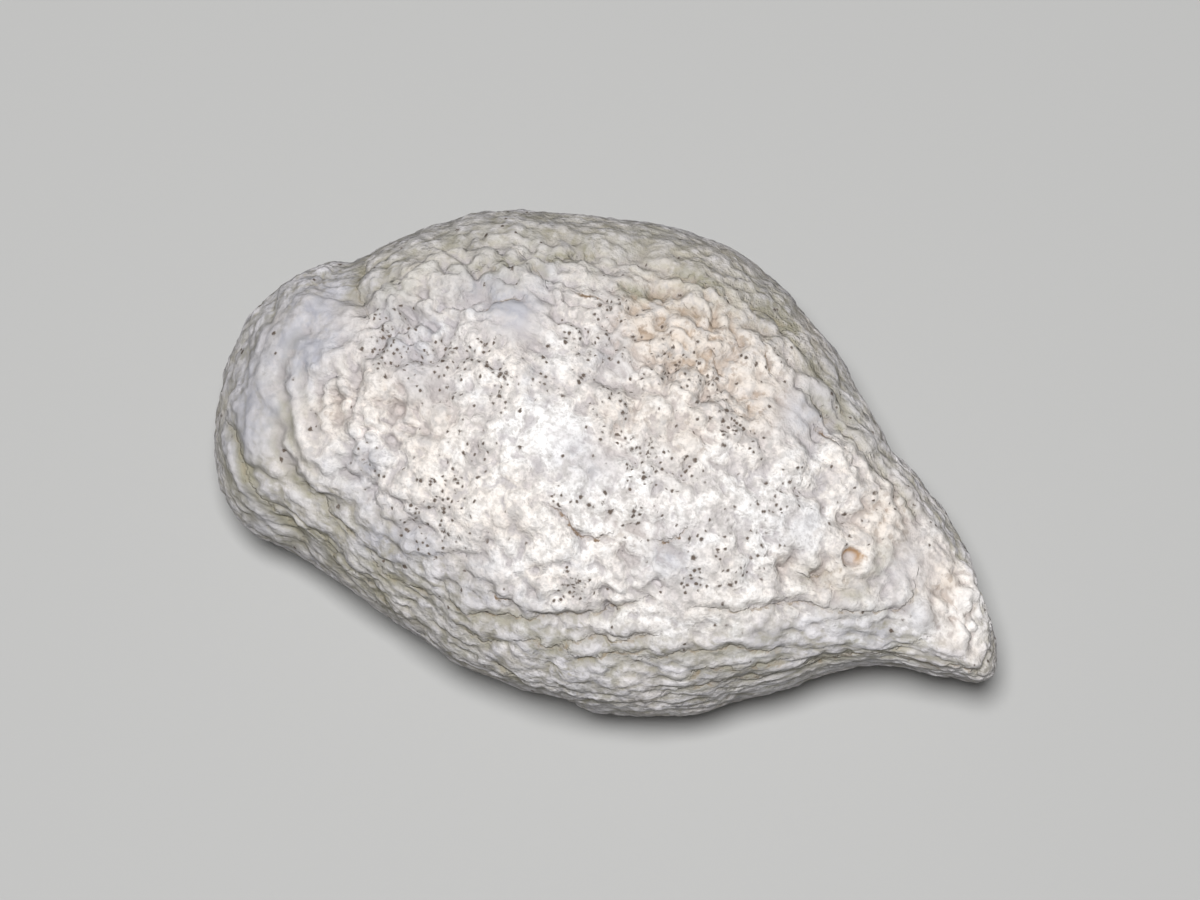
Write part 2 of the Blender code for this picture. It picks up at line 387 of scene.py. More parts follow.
@dataclass(frozen=True)
class DrawingPlane:
    """The plane that faces the upper side, on which folds and stains are placed from its middle."""

    turn: float = math.radians(20.0)
    lean: float = math.radians(12.0)
    distance: float = 360.0
    heart: tuple[float, float, float] = (-2.6, -0.8, 12.7)

    def axes(self) -> tuple[np.ndarray, np.ndarray, np.ndarray]:
        """Work out the plane's directions.

        Returns:
            Its right, up and outward unit directions.
        """
        right = np.array([math.cos(self.turn), math.sin(self.turn), 0.0])
        outward = np.array([
            math.sin(self.turn) * math.sin(self.lean),
            -math.cos(self.turn) * math.sin(self.lean),
            math.cos(self.lean),
        ])
        return right, np.cross(outward, right), outward

    def places(self, points: np.ndarray) -> np.ndarray:
        """Project points onto the plane, from an eye at the plane's distance.

        Args:
            points: points in millimetres.

        Returns:
            Rows of right and up, in millimetres from the heart.
        """
        right, up, outward = self.axes()
        offset = points - self.heart
        nearness = self.distance / (self.distance - offset @ outward)
        return np.stack([offset @ right, offset @ up], axis=1) * nearness[:, None]


@dataclass(frozen=True)
class Fold:
    """A groove along a path, with a raised lip on the left of its direction and an olive veil in it."""

    path: Path
    depth: float
    width: float
    lip: float = 0.0
    ink: Ink = Ink.PLAIN
    veil: float = 0.0
    end_share: float = 0.3
    end_fade: float = 8.0
    lip_place: float = 2.0
    lip_width: float = 1.4
    step_share: float = 0.45
    step_width: float = 1.5

    def across(self, places: np.ndarray) -> tuple[np.ndarray, np.ndarray]:
        """Measure where places are from the path.

        Args:
            places: rows of right and up on the drawing plane.

        Returns:
            The signed distance, positive on the left, and the share of the length run.
        """
        corners = np.array(self.path, float)
        lengths = np.linalg.norm(np.diff(corners, axis=0), axis=1)
        starts = np.concatenate([[0.0], np.cumsum(lengths)])
        nearest = np.full(len(places), np.inf)
        signed, along = np.zeros((2, len(places)))
        for number, length in enumerate(lengths):
            direction = (corners[number + 1] - corners[number]) / length
            offset = places - corners[number]
            run = np.clip(offset @ direction, 0.0, length)
            gap = offset - run[:, None] * direction
            distance = np.hypot(gap[:, 0], gap[:, 1])
            left = direction[0] * offset[:, 1] - direction[1] * offset[:, 0]
            closer = distance < nearest
            nearest = np.where(closer, distance, nearest)
            signed = np.where(closer, np.copysign(distance, left), signed)
            along = np.where(closer, (starts[number] + run) / starts[-1], along)
        return signed, along

    def relief(self, signed: np.ndarray, along: np.ndarray) -> np.ndarray:
        """Work out the height: a Gaussian groove, a lip on its left and a low step on its right.

        Args:
            signed: distance from the path, positive on the left.
            along: share of the path's length run.

        Returns:
            The height at each place.
        """
        across = signed / self.width
        ends = self.end_share + (1 - self.end_share) * ease(along * (1 - along) * self.end_fade)
        groove = -self.depth * np.exp(-(across**2))
        lip = self.lip * np.exp(-(((across - self.lip_place) / self.lip_width) ** 2))
        step = -self.step_share * self.lip * np.exp(-(((across + self.lip_place) / self.step_width) ** 2))
        return ends * (groove + lip + step)


@dataclass(frozen=True)
class Ring:
    """The small round socket near the beak, with a raised rim and a rusty wall, whose far side also carries
    painted shadow.

    Its offsets are held to the reach, and its rust and painted shadow end at a number of rim radii.
    """

    right: float = 20.2
    up: float = -7.05
    rim_radius: float = 1.15
    rim_width: float = 0.34
    rim_height: float = 0.4
    pit_radius: float = 0.7
    pit_depth: float = 1.1
    moat_radius: float = 0.45
    moat_width: float = 0.25
    moat_depth: float = 0.1
    reach: float = 2.0
    rust_and_shadow_end: float = 2.0

    def offsets(self, places: np.ndarray) -> tuple[np.ndarray, np.ndarray, np.ndarray]:
        """Offsets from the socket's middle, right and up, and the distance from it."""
        right, up = places[:, 0] - self.right, places[:, 1] - self.up
        return right, up, np.hypot(right, up)

    def relief(self, places: np.ndarray) -> np.ndarray:
        """Work out the height: a rim, Gaussian about its radius, less the pit and the moat in it.

        Args:
            places: rows of right and up on the drawing plane.

        Returns:
            The height at each place.
        """
        _, _, distance = self.offsets(places)
        rim = self.rim_height * np.exp(-(((distance - self.rim_radius) / self.rim_width) ** 2))
        moat = self.moat_depth * np.exp(-(((distance - self.moat_radius) / self.moat_width) ** 2))
        return rim - moat - self.pit_depth * np.exp(-((distance / self.pit_radius) ** 2))


@dataclass(frozen=True)
class Spot:
    """A round place on the drawing plane: a swell, a hollow or the middle of a stain."""

    right: float
    up: float
    radius: float
    strength: float = 1.0

    def weight(self, places: np.ndarray) -> np.ndarray:
        """Gaussian weight of the spot, times its strength."""
        gap = (places[:, 0] - self.right) ** 2 + (places[:, 1] - self.up) ** 2
        return self.strength * np.exp(-gap / self.radius**2)


# Marks on that plane are read on a sheet laid over it, x to the right and y down.
SHEET_SCALE = 12.945  # sheet units to the millimetre
SHEET_MIDDLE = (591, 466)  # the mark under the plane's heart


def sheet_path(*marks: tuple[int, int]) -> Path:
    """Turn marks on the sheet into a path on the drawing plane, to a tenth of a millimetre.

    Args:
        marks: whole sheet units, x to the right and y down.

    Returns:
        The path, right and up from the sheet's middle.
    """
    middle_x, middle_y = SHEET_MIDDLE
    return tuple(
        (round((x - middle_x) / SHEET_SCALE, 1), round((middle_y - y) / SHEET_SCALE, 1)) for x, y in marks
    )


def spot_rows(*rows: tuple[float, ...]) -> tuple[Spot, ...]:
    """Make spots from rows of right, up and radius, and strength where it isn't 1."""
    return tuple(Spot(*row) for row in rows)


FOLDS: dict[str, Fold] = {
    "outer wrap": Fold(sheet_path(
        (219, 410), (226, 427), (234, 446), (237, 462), (243, 480), (251, 497), (263, 512), (279, 528),
        (294, 545), (309, 565),
    ), depth=0.95, width=0.75, lip=0.5, ink=Ink.FAINT, veil=1.2),
    "second wrap": Fold(sheet_path(
        (268, 412), (274, 428), (271, 444), (276, 462), (284, 478), (293, 491), (303, 499), (320, 503),
        (335, 506), (348, 512),
    ), depth=0.85, width=0.7, lip=0.5, ink=Ink.NONE, veil=1.2),
    "inner wrap": Fold(
        ((-24.3, 7.2), (-23.9, 5.6), (-23.7, 4.1), (-23.4, 1.9), (-22.4, 0.1), (-20.7, -1.2)),
        depth=0.5, width=0.5, lip=0.3, ink=Ink.NONE, veil=0.8,
    ),
    "edge wrap": Fold(
        ((-28.0, 6.2), (-29.3, 4.0), (-29.5, 1.5), (-28.9, -0.8), (-27.5, -3.4), (-25.6, -5.6)),
        depth=0.5, width=0.6, lip=0.3, ink=Ink.NONE, veil=0.9,
    ),
    "lobe ridge one": Fold(
        ((-25.4, 13.1), (-26.3, 11.4), (-26.9, 9.3), (-27.1, 7.3), (-26.9, 5.5)),
        depth=0.3, width=0.7, lip=0.15, ink=Ink.NONE,
    ),
    "lobe ridge two": Fold(
        ((-22.5, 8.5), (-22.6, 6.6), (-22.4, 4.7), (-22.1, 3.2)),
        depth=0.35, width=0.5, lip=0.2, ink=Ink.NONE, veil=0.4,
    ),
    "lobe ridge three": Fold(
        ((-21.1, 6.3), (-21.7, 4.3), (-21.6, 2.3), (-21.1, 0.3)),
        depth=0.35, width=0.5, lip=0.2, ink=Ink.NONE, veil=0.2,
    ),
    "third wrap": Fold(sheet_path(
        (319, 505), (326, 518), (333, 528), (342, 535), (356, 540),
    ), depth=0.32, width=0.5, lip=0.2, ink=Ink.FAINT, veil=0.8),
    "toe": Fold(sheet_path(
        (297, 536), (310, 538), (321, 545), (329, 556), (331, 567), (341, 574), (354, 577),
    ), depth=0.4, width=0.5, lip=0.22, ink=Ink.FAINT, veil=0.9),
    "low edge": Fold(sheet_path(
        (353, 575), (366, 587), (379, 598), (387, 608), (398, 620),
    ), depth=0.36, width=0.5, lip=0.2, ink=Ink.FAINT, veil=0.9),
    "almond": Fold(sheet_path(
        (364, 558), (373, 571), (386, 581), (403, 588), (422, 594), (440, 602),
    ), depth=0.34, width=0.45, lip=0.22, ink=Ink.FAINT, veil=0.8),
    "main fold": Fold(sheet_path(
        (440, 580), (446, 594), (455, 604), (466, 614), (480, 614), (489, 611), (500, 616), (526, 619),
        (560, 618), (598, 619), (614, 614), (630, 605), (650, 601),
    ), depth=0.42, width=0.5, lip=0.28, veil=0.7),
    "dome foot": Fold(sheet_path(
        (689, 610), (714, 607), (745, 611), (779, 608), (807, 606), (832, 611), (860, 611), (885, 608),
        (900, 608), (910, 601), (917, 586), (921, 570),
    ), depth=0.2, width=0.4, lip=0.18, veil=0.3),
    "second fold": Fold(sheet_path(
        (515, 638), (535, 638), (549, 648), (558, 650), (570, 645), (592, 642), (616, 645), (640, 643),
        (660, 639),
    ), depth=0.32, width=0.4, lip=0.2, veil=0.7),
    "belly fold": Fold(sheet_path(
        (568, 652), (571, 659), (580, 664), (594, 663), (606, 658), (622, 656), (640, 657), (655, 652),
    ), depth=0.3, width=0.38, lip=0.2, veil=0.7),
    "left slat": Fold(sheet_path(
        (458, 622), (470, 633), (482, 640), (497, 639),
    ), depth=0.28, width=0.38, lip=0.2, ink=Ink.FAINT, veil=0.7),
    "lower slat": Fold(sheet_path(
        (489, 652), (500, 664), (513, 675), (533, 686), (552, 692),
    ), depth=0.3, width=0.4, lip=0.2, ink=Ink.FAINT, veil=0.8),
    "middle slat": Fold(sheet_path(
        (644, 664), (656, 663), (672, 657), (694, 657), (722, 652), (740, 650), (765, 655), (790, 652),
    ), depth=0.28, width=0.35, lip=0.2, veil=0.7),
    "lens slat": Fold(sheet_path(
        (683, 682), (695, 678), (706, 671), (722, 670), (740, 674), (765, 668), (790, 662),
    ), depth=0.3, width=0.38, lip=0.2, veil=0.8),
    "long low fold": Fold(sheet_path(
        (664, 701), (697, 694), (731, 686), (760, 681), (792, 675), (820, 665), (851, 655), (884, 650),
        (905, 643), (928, 637),
    ), depth=0.32, width=0.38, lip=0.24, veil=0.8),
    "beak edge": Fold(sheet_path(
        (880, 652), (912, 654), (926, 659), (939, 664), (955, 663), (971, 671), (984, 677),
    ), depth=0.28, width=0.32, lip=0.2, veil=0.5),
    "notch": Fold(sheet_path(
        (362, 258), (356, 275), (353, 287), (358, 297), (364, 306), (364, 314),
    ), depth=0.6, width=0.65, lip=0.15, ink=Ink.FAINT, veil=0.8),
    "lobe crease": Fold(sheet_path(
        (316, 331), (299, 335), (290, 345), (285, 358), (279, 374), (272, 390),
    ), depth=0.25, width=0.6, lip=0.1, ink=Ink.NONE, veil=0.3),
    "dome border": Fold(sheet_path(
        (352, 346), (343, 360), (335, 375), (334, 393), (339, 416), (341, 440), (336, 464), (333, 476),
        (341, 486), (354, 491),
    ), depth=0.38, width=0.75, lip=0.1, ink=Ink.NONE, veil=0.2),
    "brown crack": Fold(sheet_path(
        (577, 288), (586, 291), (597, 292), (607, 296),
    ), depth=0.4, width=0.3, lip=0.1, ink=Ink.DARK),
    "crown arc": Fold(sheet_path(
        (470, 266), (484, 263), (496, 261), (506, 256), (520, 260), (535, 263), (545, 269), (548, 279),
    ), depth=0.3, width=0.4, lip=0.1, ink=Ink.FAINT, veil=0.9),
    "top band": Fold(sheet_path(
        (524, 246), (533, 250), (551, 252), (567, 248), (584, 247), (602, 244),
    ), depth=0.3, width=0.35, lip=0.1, ink=Ink.FAINT, veil=0.9),
    "grey patch edge": Fold(sheet_path(
        (478, 304), (489, 302), (500, 298), (512, 295), (524, 294),
    ), depth=0.25, width=0.35),
    "shoulder line one": Fold(sheet_path(
        (615, 283), (629, 284), (643, 286), (656, 284), (670, 284),
    ), depth=0.3, width=0.35, lip=0.1, ink=Ink.FAINT, veil=0.9),
    "shoulder line two": Fold(sheet_path(
        (668, 267), (682, 267), (696, 271), (710, 280), (722, 286), (730, 296),
    ), depth=0.3, width=0.38, lip=0.12, ink=Ink.FAINT, veil=0.9),
    "shoulder line three": Fold(sheet_path(
        (683, 296), (696, 303), (712, 311), (722, 320),
    ), depth=0.3, width=0.3, lip=0.1),
    "olive groove": Fold(sheet_path(
        (750, 293), (761, 303), (773, 312), (785, 320), (795, 326), (801, 338),
    ), depth=0.36, width=0.5, lip=0.15, ink=Ink.FAINT, veil=1.0),
    "flank crack one": Fold(sheet_path(
        (762, 343), (767, 353), (771, 362), (774, 372),
    ), depth=0.3, width=0.25, lip=0.1, ink=Ink.DARK),
    "flank crack two": Fold(sheet_path(
        (715, 344), (722, 354), (724, 364), (732, 371),
    ), depth=0.3, width=0.25, lip=0.1, ink=Ink.DARK),
    "hollow crack": Fold(sheet_path(
        (820, 421), (826, 429), (829, 435), (834, 443),
    ), depth=0.3, width=0.25, lip=0.1, ink=Ink.DARK),
    "dome crack one": Fold(sheet_path(
        (545, 505), (556, 510), (564, 516), (572, 526), (583, 537), (597, 539), (613, 532),
    ), depth=0.3, width=0.25, lip=0.15, ink=Ink.DARK),
    "dome crack two": Fold(sheet_path(
        (657, 538), (670, 541), (682, 535), (689, 526),
    ), depth=0.3, width=0.25, lip=0.15, ink=Ink.DARK),
    "dome crack three": Fold(sheet_path(
        (491, 589), (499, 596), (507, 598), (516, 606),
    ), depth=0.35, width=0.3, lip=0.2, ink=Ink.DARK),
    "ring foot": Fold(sheet_path(
        (803, 575), (810, 580), (820, 581), (829, 575), (837, 569), (838, 561),
    ), depth=0.3, width=0.3, lip=0.15),
    "ring right": Fold(sheet_path(
        (835, 587), (846, 595), (859, 596), (869, 590), (875, 578), (879, 565), (878, 552),
    ), depth=0.35, width=0.5, lip=0.1, ink=Ink.NONE, veil=0.5),
    "right flank one": Fold(sheet_path(
        (788, 330), (806, 352), (824, 378), (842, 402), (858, 428),
    ), depth=0.34, width=0.42, lip=0.15, ink=Ink.FAINT, veil=0.7),
    "right flank two": Fold(sheet_path(
        (800, 385), (822, 400), (842, 425), (862, 452), (884, 480),
    ), depth=0.34, width=0.42, lip=0.15, ink=Ink.FAINT, veil=0.7),
    "right flank three": Fold(sheet_path(
        (872, 455), (890, 478), (908, 500), (925, 522),
    ), depth=0.32, width=0.38, lip=0.15, ink=Ink.FAINT, veil=0.6),
    "shoulder hollow": Fold(((10.0, 6.3), (19.2, 2.4)), depth=0.8, width=1.9, ink=Ink.NONE),
}

SWELLS: dict[str, Spot] = {
    "lobe": Spot(-22.5, 12.8, 2.6, 0.5),
    "beak swell": Spot(25.5, -11.4, 0.9, 0.95),
    "beak hollow": Spot(27.0, -12.3, 1.1, -0.5),
    "socket mound": Spot(20.2, -7.05, 2.0, 0.45),
    "near dome": Spot(-4.0, -7.0, 4.0, 0.4),
    "far hollow": Spot(-12.0, 10.0, 3.0, -0.4),
}

# Trims move the edge seen from the plane. Smooth patches calm the crust and craggy ones roughen it.
EDGE_TRIMS = spot_rows(
    (30.2, -9.4, 2.0, -0.4), (28.4, -5.4, 2.0, -0.3), (26.2, -1.8, 2.2, -0.35), (23.4, 1.4, 2.4, -0.45),
    (21.0, 5.2, 2.2, -0.4), (18.6, -16.2, 2.4, -0.5), (11.6, -18.2, 2.4, -0.4),
    (-2.2, -18.2, 1.8, -0.45), (-11.0, 19.2, 1.8, -0.4), (-21.4, 15.5, 2.0, -0.4),
    (-29.0, -0.2, 2.2, -0.25), (-28.8, 6.0, 2.0, -0.3), (28.4, -16.6, 1.6, -0.35),
    (-10.9, -15.2, 1.6, 0.3), (-20.4, -8.6, 2.4, 0.25), (15.4, 13.4, 1.8, 0.3), (-26.6, 11.9, 1.8, 0.3),
    (-15.6, 17.4, 1.6, 0.25),
)
TAN_STAINS = spot_rows(
    (8.4, 10.5, 4.6), (4.0, 12.6, 2.6, 0.9), (13.0, 4.5, 2.2, 0.8), (12.0, 8.5, 3.2, 0.3),
    (22.8, -4.0, 2.8, 0.7), (19.0, -8.8, 1.6, 0.6), (27.5, -8.5, 1.8, 0.5), (2.5, 3.6, 2.2, 0.45),
    (28.6, -11.4, 2.4, 0.6), (-20.3, 4.6, 1.6, 0.5), (17.5, 10.5, 2.6, 0.4), (3.0, -5.0, 2.6, 0.3),
    (-11.5, 3.5, 2.6, 0.3), (15.5, -7.8, 1.6, 0.4), (-16.0, 6.0, 2.2, 0.35), (8.0, 2.0, 2.2, 0.35),
)
# Bluish-grey patches; the broad ones on the left lobe are partly painted shade that darkens that end.
COOL_AND_LOBE_SHADE_PATCHES = spot_rows(
    (-5.6, 11.9, 2.4, 1.3), (-1.2, 1.2, 2.0, 0.4), (-9.5, 14.4, 2.6, 0.7), (-14.8, -5.6, 2.8, 0.8),
    (-22.0, 9.4, 3.8, 0.8), (-20.5, 13.0, 2.6, 0.7), (-26.5, 3.0, 3.6, 0.8), (15.6, 4.3, 2.6, 0.7),
    (15.8, -4.5, 2.2, 0.3), (25.4, -11.4, 1.4, 0.5), (24.7, -7.2, 2.0, 0.5), (6.0, -7.5, 3.0, 0.5),
    (-12.6, 6.4, 2.4, 0.7), (1.0, 0.0, 1.8, 0.35), (6.4, -0.5, 1.6, 0.35), (-18.5, -0.5, 2.4, 0.6),
    (-14.5, 9.8, 2.6, 0.7), (-3.2, 16.0, 2.2, 0.5), (18.6, 6.2, 2.4, 0.6), (-8.0, -7.5, 2.4, 0.4),
    (1.0, 8.0, 2.6, 0.4), (-16.0, 13.0, 2.0, 0.5), (2.0, 15.2, 2.4, 0.4),
)
# White patches; the strongest, on the crown near the middle, is a painted highlight where the light falls
# square on.
WHITE_AND_HIGHLIGHT_PATCHES = spot_rows(
    (-3.2, 2.8, 2.1, 1.6), (-0.5, -1.5, 4.0, 0.6), (6.0, -3.5, 5.0, 0.6), (13.0, -3.0, 4.0, 0.6),
    (16.8, -4.8, 1.6, 0.6), (-9.0, 3.0, 4.0, 0.35), (22.0, -12.6, 3.0, 0.55), (25.6, -13.8, 2.2, 0.4),
    (13.0, -11.8, 4.0, 0.5), (3.0, -12.8, 4.0, 0.5), (-4.5, -12.6, 2.6, 0.4), (-10.5, 10.6, 1.4, 0.5),
)
# Olive veils: olive stain, and along the top band partly painted shade that darkens the upper side.
OLIVE_VEILS_AND_TOP_SHADE = spot_rows(
    (-15.4, 14.8, 2.6, 0.9), (-11.0, 16.6, 2.4, 0.7), (-8.0, 17.8, 3.0, 0.7), (-2.0, 18.2, 3.0, 0.7),
    (4.0, 17.4, 3.0, 0.8), (0.5, 15.8, 1.8, 0.4), (-6.0, 14.4, 1.2, 0.4), (12.0, 13.6, 2.4, 0.6),
    (8.6, 15.4, 2.6, 0.8), (14.6, 12.0, 2.4, 0.9), (18.5, 7.6, 2.2, 0.6), (-26.6, -0.4, 1.8, 0.5),
    (-22.6, -5.2, 2.0, 0.9), (-24.6, 3.4, 1.6, 0.5), (-18.6, -8.4, 2.0, 0.9), (-15.4, -11.4, 2.4, 0.7),
    (21.6, 3.2, 2.2, 0.6), (-10.6, -12.6, 2.0, 0.5), (22.6, -6.6, 1.0, 0.6), (17.4, -8.5, 1.2, 0.8),
    (20.4, -9.3, 1.3, 0.6),
)
PORE_CLUSTERS = spot_rows(
    (-16.3, 10.1, 1.8), (-14.4, 11.3, 1.4), (-7.8, 9.3, 1.2), (-7.4, 7.0, 1.3, 1.3), (-6.6, 5.1, 1.3),
    (-12.4, 7.4, 2.4, 0.7), (-10.1, 9.0, 1.5, 0.9), (-15.9, 8.2, 1.4, 0.8), (-1.2, 10.5, 0.9, 1.2),
    (2.2, 9.3, 3.0, 0.4), (5.7, 9.0, 2.0, 0.6), (11.1, 3.6, 1.2), (7.6, -0.4, 1.0, 1.3),
    (4.6, 1.6, 2.0, 0.6), (9.0, 6.6, 3.0, 0.5), (11.9, 2.0, 2.0, 0.5), (16.1, -1.1, 2.0, 0.5),
    (13.8, -3.4, 1.2, 0.8), (-1.2, -9.2, 1.4, 1.2), (-2.4, -2.4, 1.2, 0.8), (-12.4, -3.4, 3.0, 0.6),
    (-10.9, -5.7, 2.4, 0.6), (2.4, -2.8, 3.0, 0.5), (7.6, -8.8, 2.0, 0.6), (20.0, -3.8, 3.0, 0.45),
    (0.6, 5.2, 3.0, 0.4), (-3.5, 7.4, 2.2, 0.4), (2.0, 12.6, 2.4, 0.5), (-17.5, 1.0, 2.6, 0.3),
    (11.5, -6.5, 3.4, 0.5), (4.0, 0.0, 4.0, 0.1), (-9.5, 1.5, 3.0, 0.4), (15.0, 8.5, 3.0, 0.3),
)
SMOOTH_PATCHES = spot_rows(
    (-5.8, 12.0, 2.0), (-2.8, 2.6, 2.2), (-22.0, 10.5, 3.4, 0.5), (15.7, 4.2, 2.2, 0.7),
    (25.4, -11.3, 1.4, 0.7), (24.0, -7.0, 4.6, 0.45), (28.0, -7.5, 2.4, 0.3), (1.2, 0.2, 1.6, 0.8),
    (16.6, -4.8, 1.5, 0.8), (-13.0, 6.4, 1.8, 0.5), (-19.5, 12.8, 2.4, 0.5), (-25.0, 4.0, 2.8),
    (-27.0, 8.0, 3.4, 0.6), (-28.5, 0.0, 3.4, 0.9), (-26.0, -4.5, 2.8, 0.8), (-23.0, 2.0, 2.2, 0.5),
    (-22.5, -7.5, 2.4, 0.7), (-25.0, 10.0, 2.4, 0.5), (24.7, -7.2, 1.4, 0.4), (12.0, -12.0, 3.0, 0.4),
    (20.0, -14.0, 3.2, 0.6), (26.0, -14.5, 3.0, 0.6), (14.0, -15.0, 3.2, 0.5), (7.0, -16.0, 3.0, 0.4),
    (-8.0, 17.0, 3.0, 0.3), (-2.0, 17.5, 3.0, 0.3), (5.0, 17.0, 3.0, 0.3), (20.2, -7.05, 1.5, 0.4),
    (19.0, 6.5, 3.6, 0.3), (22.5, 1.0, 3.0, 0.3),
)
CRAGGY_PATCHES = spot_rows(
    (-12.0, 8.5, 5.0, 0.9), (-16.0, 5.0, 4.0, 0.9), (-8.0, 14.0, 4.0, 0.25), (0.0, -8.0, 5.0, 0.3),
    (5.0, 7.0, 6.0, 0.2), (-15.5, -1.5, 3.4, 0.4), (10.0, -6.0, 5.0, 0.1), (9.0, 11.0, 4.0, 0.3),
    (-2.0, 16.5, 4.0, 0.1), (5.0, 15.5, 4.0, 0.1), (-15.0, 13.0, 3.0, 0.5), (28.8, -11.6, 1.9, 0.45),
)
TIP_BREAK = Spot(29.6, -11.5, 3.2)


def total_weight(spots: tuple[Spot, ...], places: np.ndarray) -> np.ndarray:
    """Sum of the spots' weights at each place, held to at most 1."""
    return np.minimum(sum(spot.weight(places) for spot in spots), 1.0)


# ---------------------------------------------------------------- the crust


@dataclass(frozen=True)
class Layers:
    """Ledges and slats where the thin layers come out on the flanks."""

    spacing: float = 1.9
    rise: float = 0.75
    ledge_height: float = 0.05
    ledge_patches: Patches = Patches(LatticeNoise(34, 8.0), middle=0.65, swing=0.8, least=0.1, most=1.3)
    wander: NoiseSum = NoiseSum(31, ((15.0, 1.8), (5.0, 0.7), (1.8, 0.35)))
    warp: Warp = Warp(35, wavelength=2.4, reach=0.8)
    follow: float = 0.5
    long_slats: Cobbles = Cobbles(38, (3.8, 3.8, 1.2), droop=0.15, sharpness=7.0)
    short_slats: Cobbles = Cobbles(39, (1.6, 1.6, 0.72), droop=0.15, sharpness=8.0)
    fine_slats: Cobbles = Cobbles(40, (1.0, 1.0, 0.5), sharpness=9.0)
    slat_height: float = 0.11
    long_share: float = 0.75
    short_share: float = 0.85
    fine_share: float = 0.5
    calm_gain: float = 0.5
    calm_loss: float = 0.7
    long_seam: float = 0.3
    short_seam: float = 0.45
    short_seam_share: float = 0.85
    streaks: NoiseSum = NoiseSum(71, (((3.4, 3.4, 0.9), 1.3), ((1.6, 1.6, 0.45), 0.7)))

    def relief(
        self, points: np.ndarray, level: np.ndarray, slack: np.ndarray, calm: np.ndarray
    ) -> tuple[np.ndarray, np.ndarray, np.ndarray]:
        """Work out the ledges and the slats.

        A ledge climbs over its rise, a share of the spacing, and drops in the rest. Slats
        are cobbles that are long along the layers and thin across them.

        Args:
            points: points of the bare form.
            level: height of each point among the layers.
            slack: 0 on the crown to 1 on the flanks.
            calm: 0 where short slats break up the long ones, to 1 where they do so least.

        Returns:
            The height at each point, how near it is to a seam between slats, 0 to 1, and a
            streak of about -1 to 1 that is long along the layers.
        """
        wander = self.wander.at(points)
        phase = np.mod((level + wander) / self.spacing, 1.0)
        ledge = np.where(phase < self.rise, phase / self.rise, (1 - phase) / (1 - self.rise)) - 0.5
        patchy = self.ledge_patches.at(points)
        bent = self.warp.at(points)
        lifted = bent[:, 2] - points[:, 2] + level + self.follow * wander
        stacked = np.stack([bent[:, 0], bent[:, 1], lifted], axis=1)
        long, long_gap = self.long_slats.at(stacked)
        short, short_gap = self.short_slats.at(stacked)
        fine, _ = self.fine_slats.at(stacked)
        broken = (self.short_share * short + self.fine_share * fine) * (1 - self.calm_loss * calm)
        slats = self.long_share * long * (1 + self.calm_gain * calm) + broken
        long_near = 1 - long_gap / self.long_seam
        short_near = self.short_seam_share * (1 - short_gap / self.short_seam)
        height = slack * (self.ledge_height * ledge * patchy + self.slat_height * slats)
        return height, np.clip(np.maximum(long_near, short_near), 0.0, 1.0), self.streaks.at(stacked)


@dataclass(frozen=True)
class Skin:
    """Humps, knobs, flakes and grit of the crown, and the small pits where pores are dense."""

    warp: Warp = Warp(41, wavelength=1.7, reach=0.4)
    humps: Cobbles = Cobbles(49, 3.8, sharpness=8.0)
    hump_height: float = 0.32
    knobs: Cobbles = Cobbles(44, 1.7, sharpness=10.0)
    knob_height: float = 0.33
    flakes: Cobbles = Cobbles(45, 0.92, tilt=(0.5, 0.5, 0.5), sharpness=10.0)
    flake_height: float = 0.30
    patches: Patches = Patches(LatticeNoise(48, 6.0), middle=0.85, swing=0.6, least=0.35, most=1.3)
    calm_loss: float = 0.92
    grit: NoiseSum = NoiseSum(46, ((0.7, 1.0), (0.45, 0.6)))
    grit_height: float = 0.08
    pits: LatticeNoise = LatticeNoise(51, 1.1)
    pit_depth: float = 0.35
    pit_start: float = 0.42
    pit_fade: float = 0.3
    stray_pits: float = 0.25

    def relief(self, points: np.ndarray, calm: np.ndarray) -> np.ndarray:
        """Work out the height of the crust: cobbles where it isn't calm, and grit everywhere.

        Args:
            points: points of the bare form.
            calm: 0 where the crust is rough, to 1 where it is smooth.

        Returns:
            The height at each point.
        """
        bent = self.warp.at(points)
        humps, _ = self.humps.at(bent)
        knobs, _ = self.knobs.at(bent)
        flakes, _ = self.flakes.at(bent)
        rough = 1 - self.calm_loss * calm
        crust = self.hump_height * humps + self.knob_height * knobs + self.flake_height * flakes
        return rough * self.patches.at(points) * crust + self.grit_height * self.grit.at(points)

    def pit_relief(self, points: np.ndarray, density: np.ndarray) -> np.ndarray:
        """Dents round the deepest places of a fine noise, most of them where pores are dense."""
        deep = ease((self.pits.at(points) - self.pit_start) / self.pit_fade)
        return -self.pit_depth * deep * np.clip(self.stray_pits + density, 0.0, 1.0)


@dataclass(frozen=True)
class Limb:
    """The band seen edge-on from the drawing plane, where relief would spoil the outline."""

    width: float = 0.32
    start: float = 6.0
    fade: float = 4.0
    lump_loss: float = 0.5
    layer_loss: float = 0.4
    skin_calm: float = 0.2
    trim_width: float = 0.6


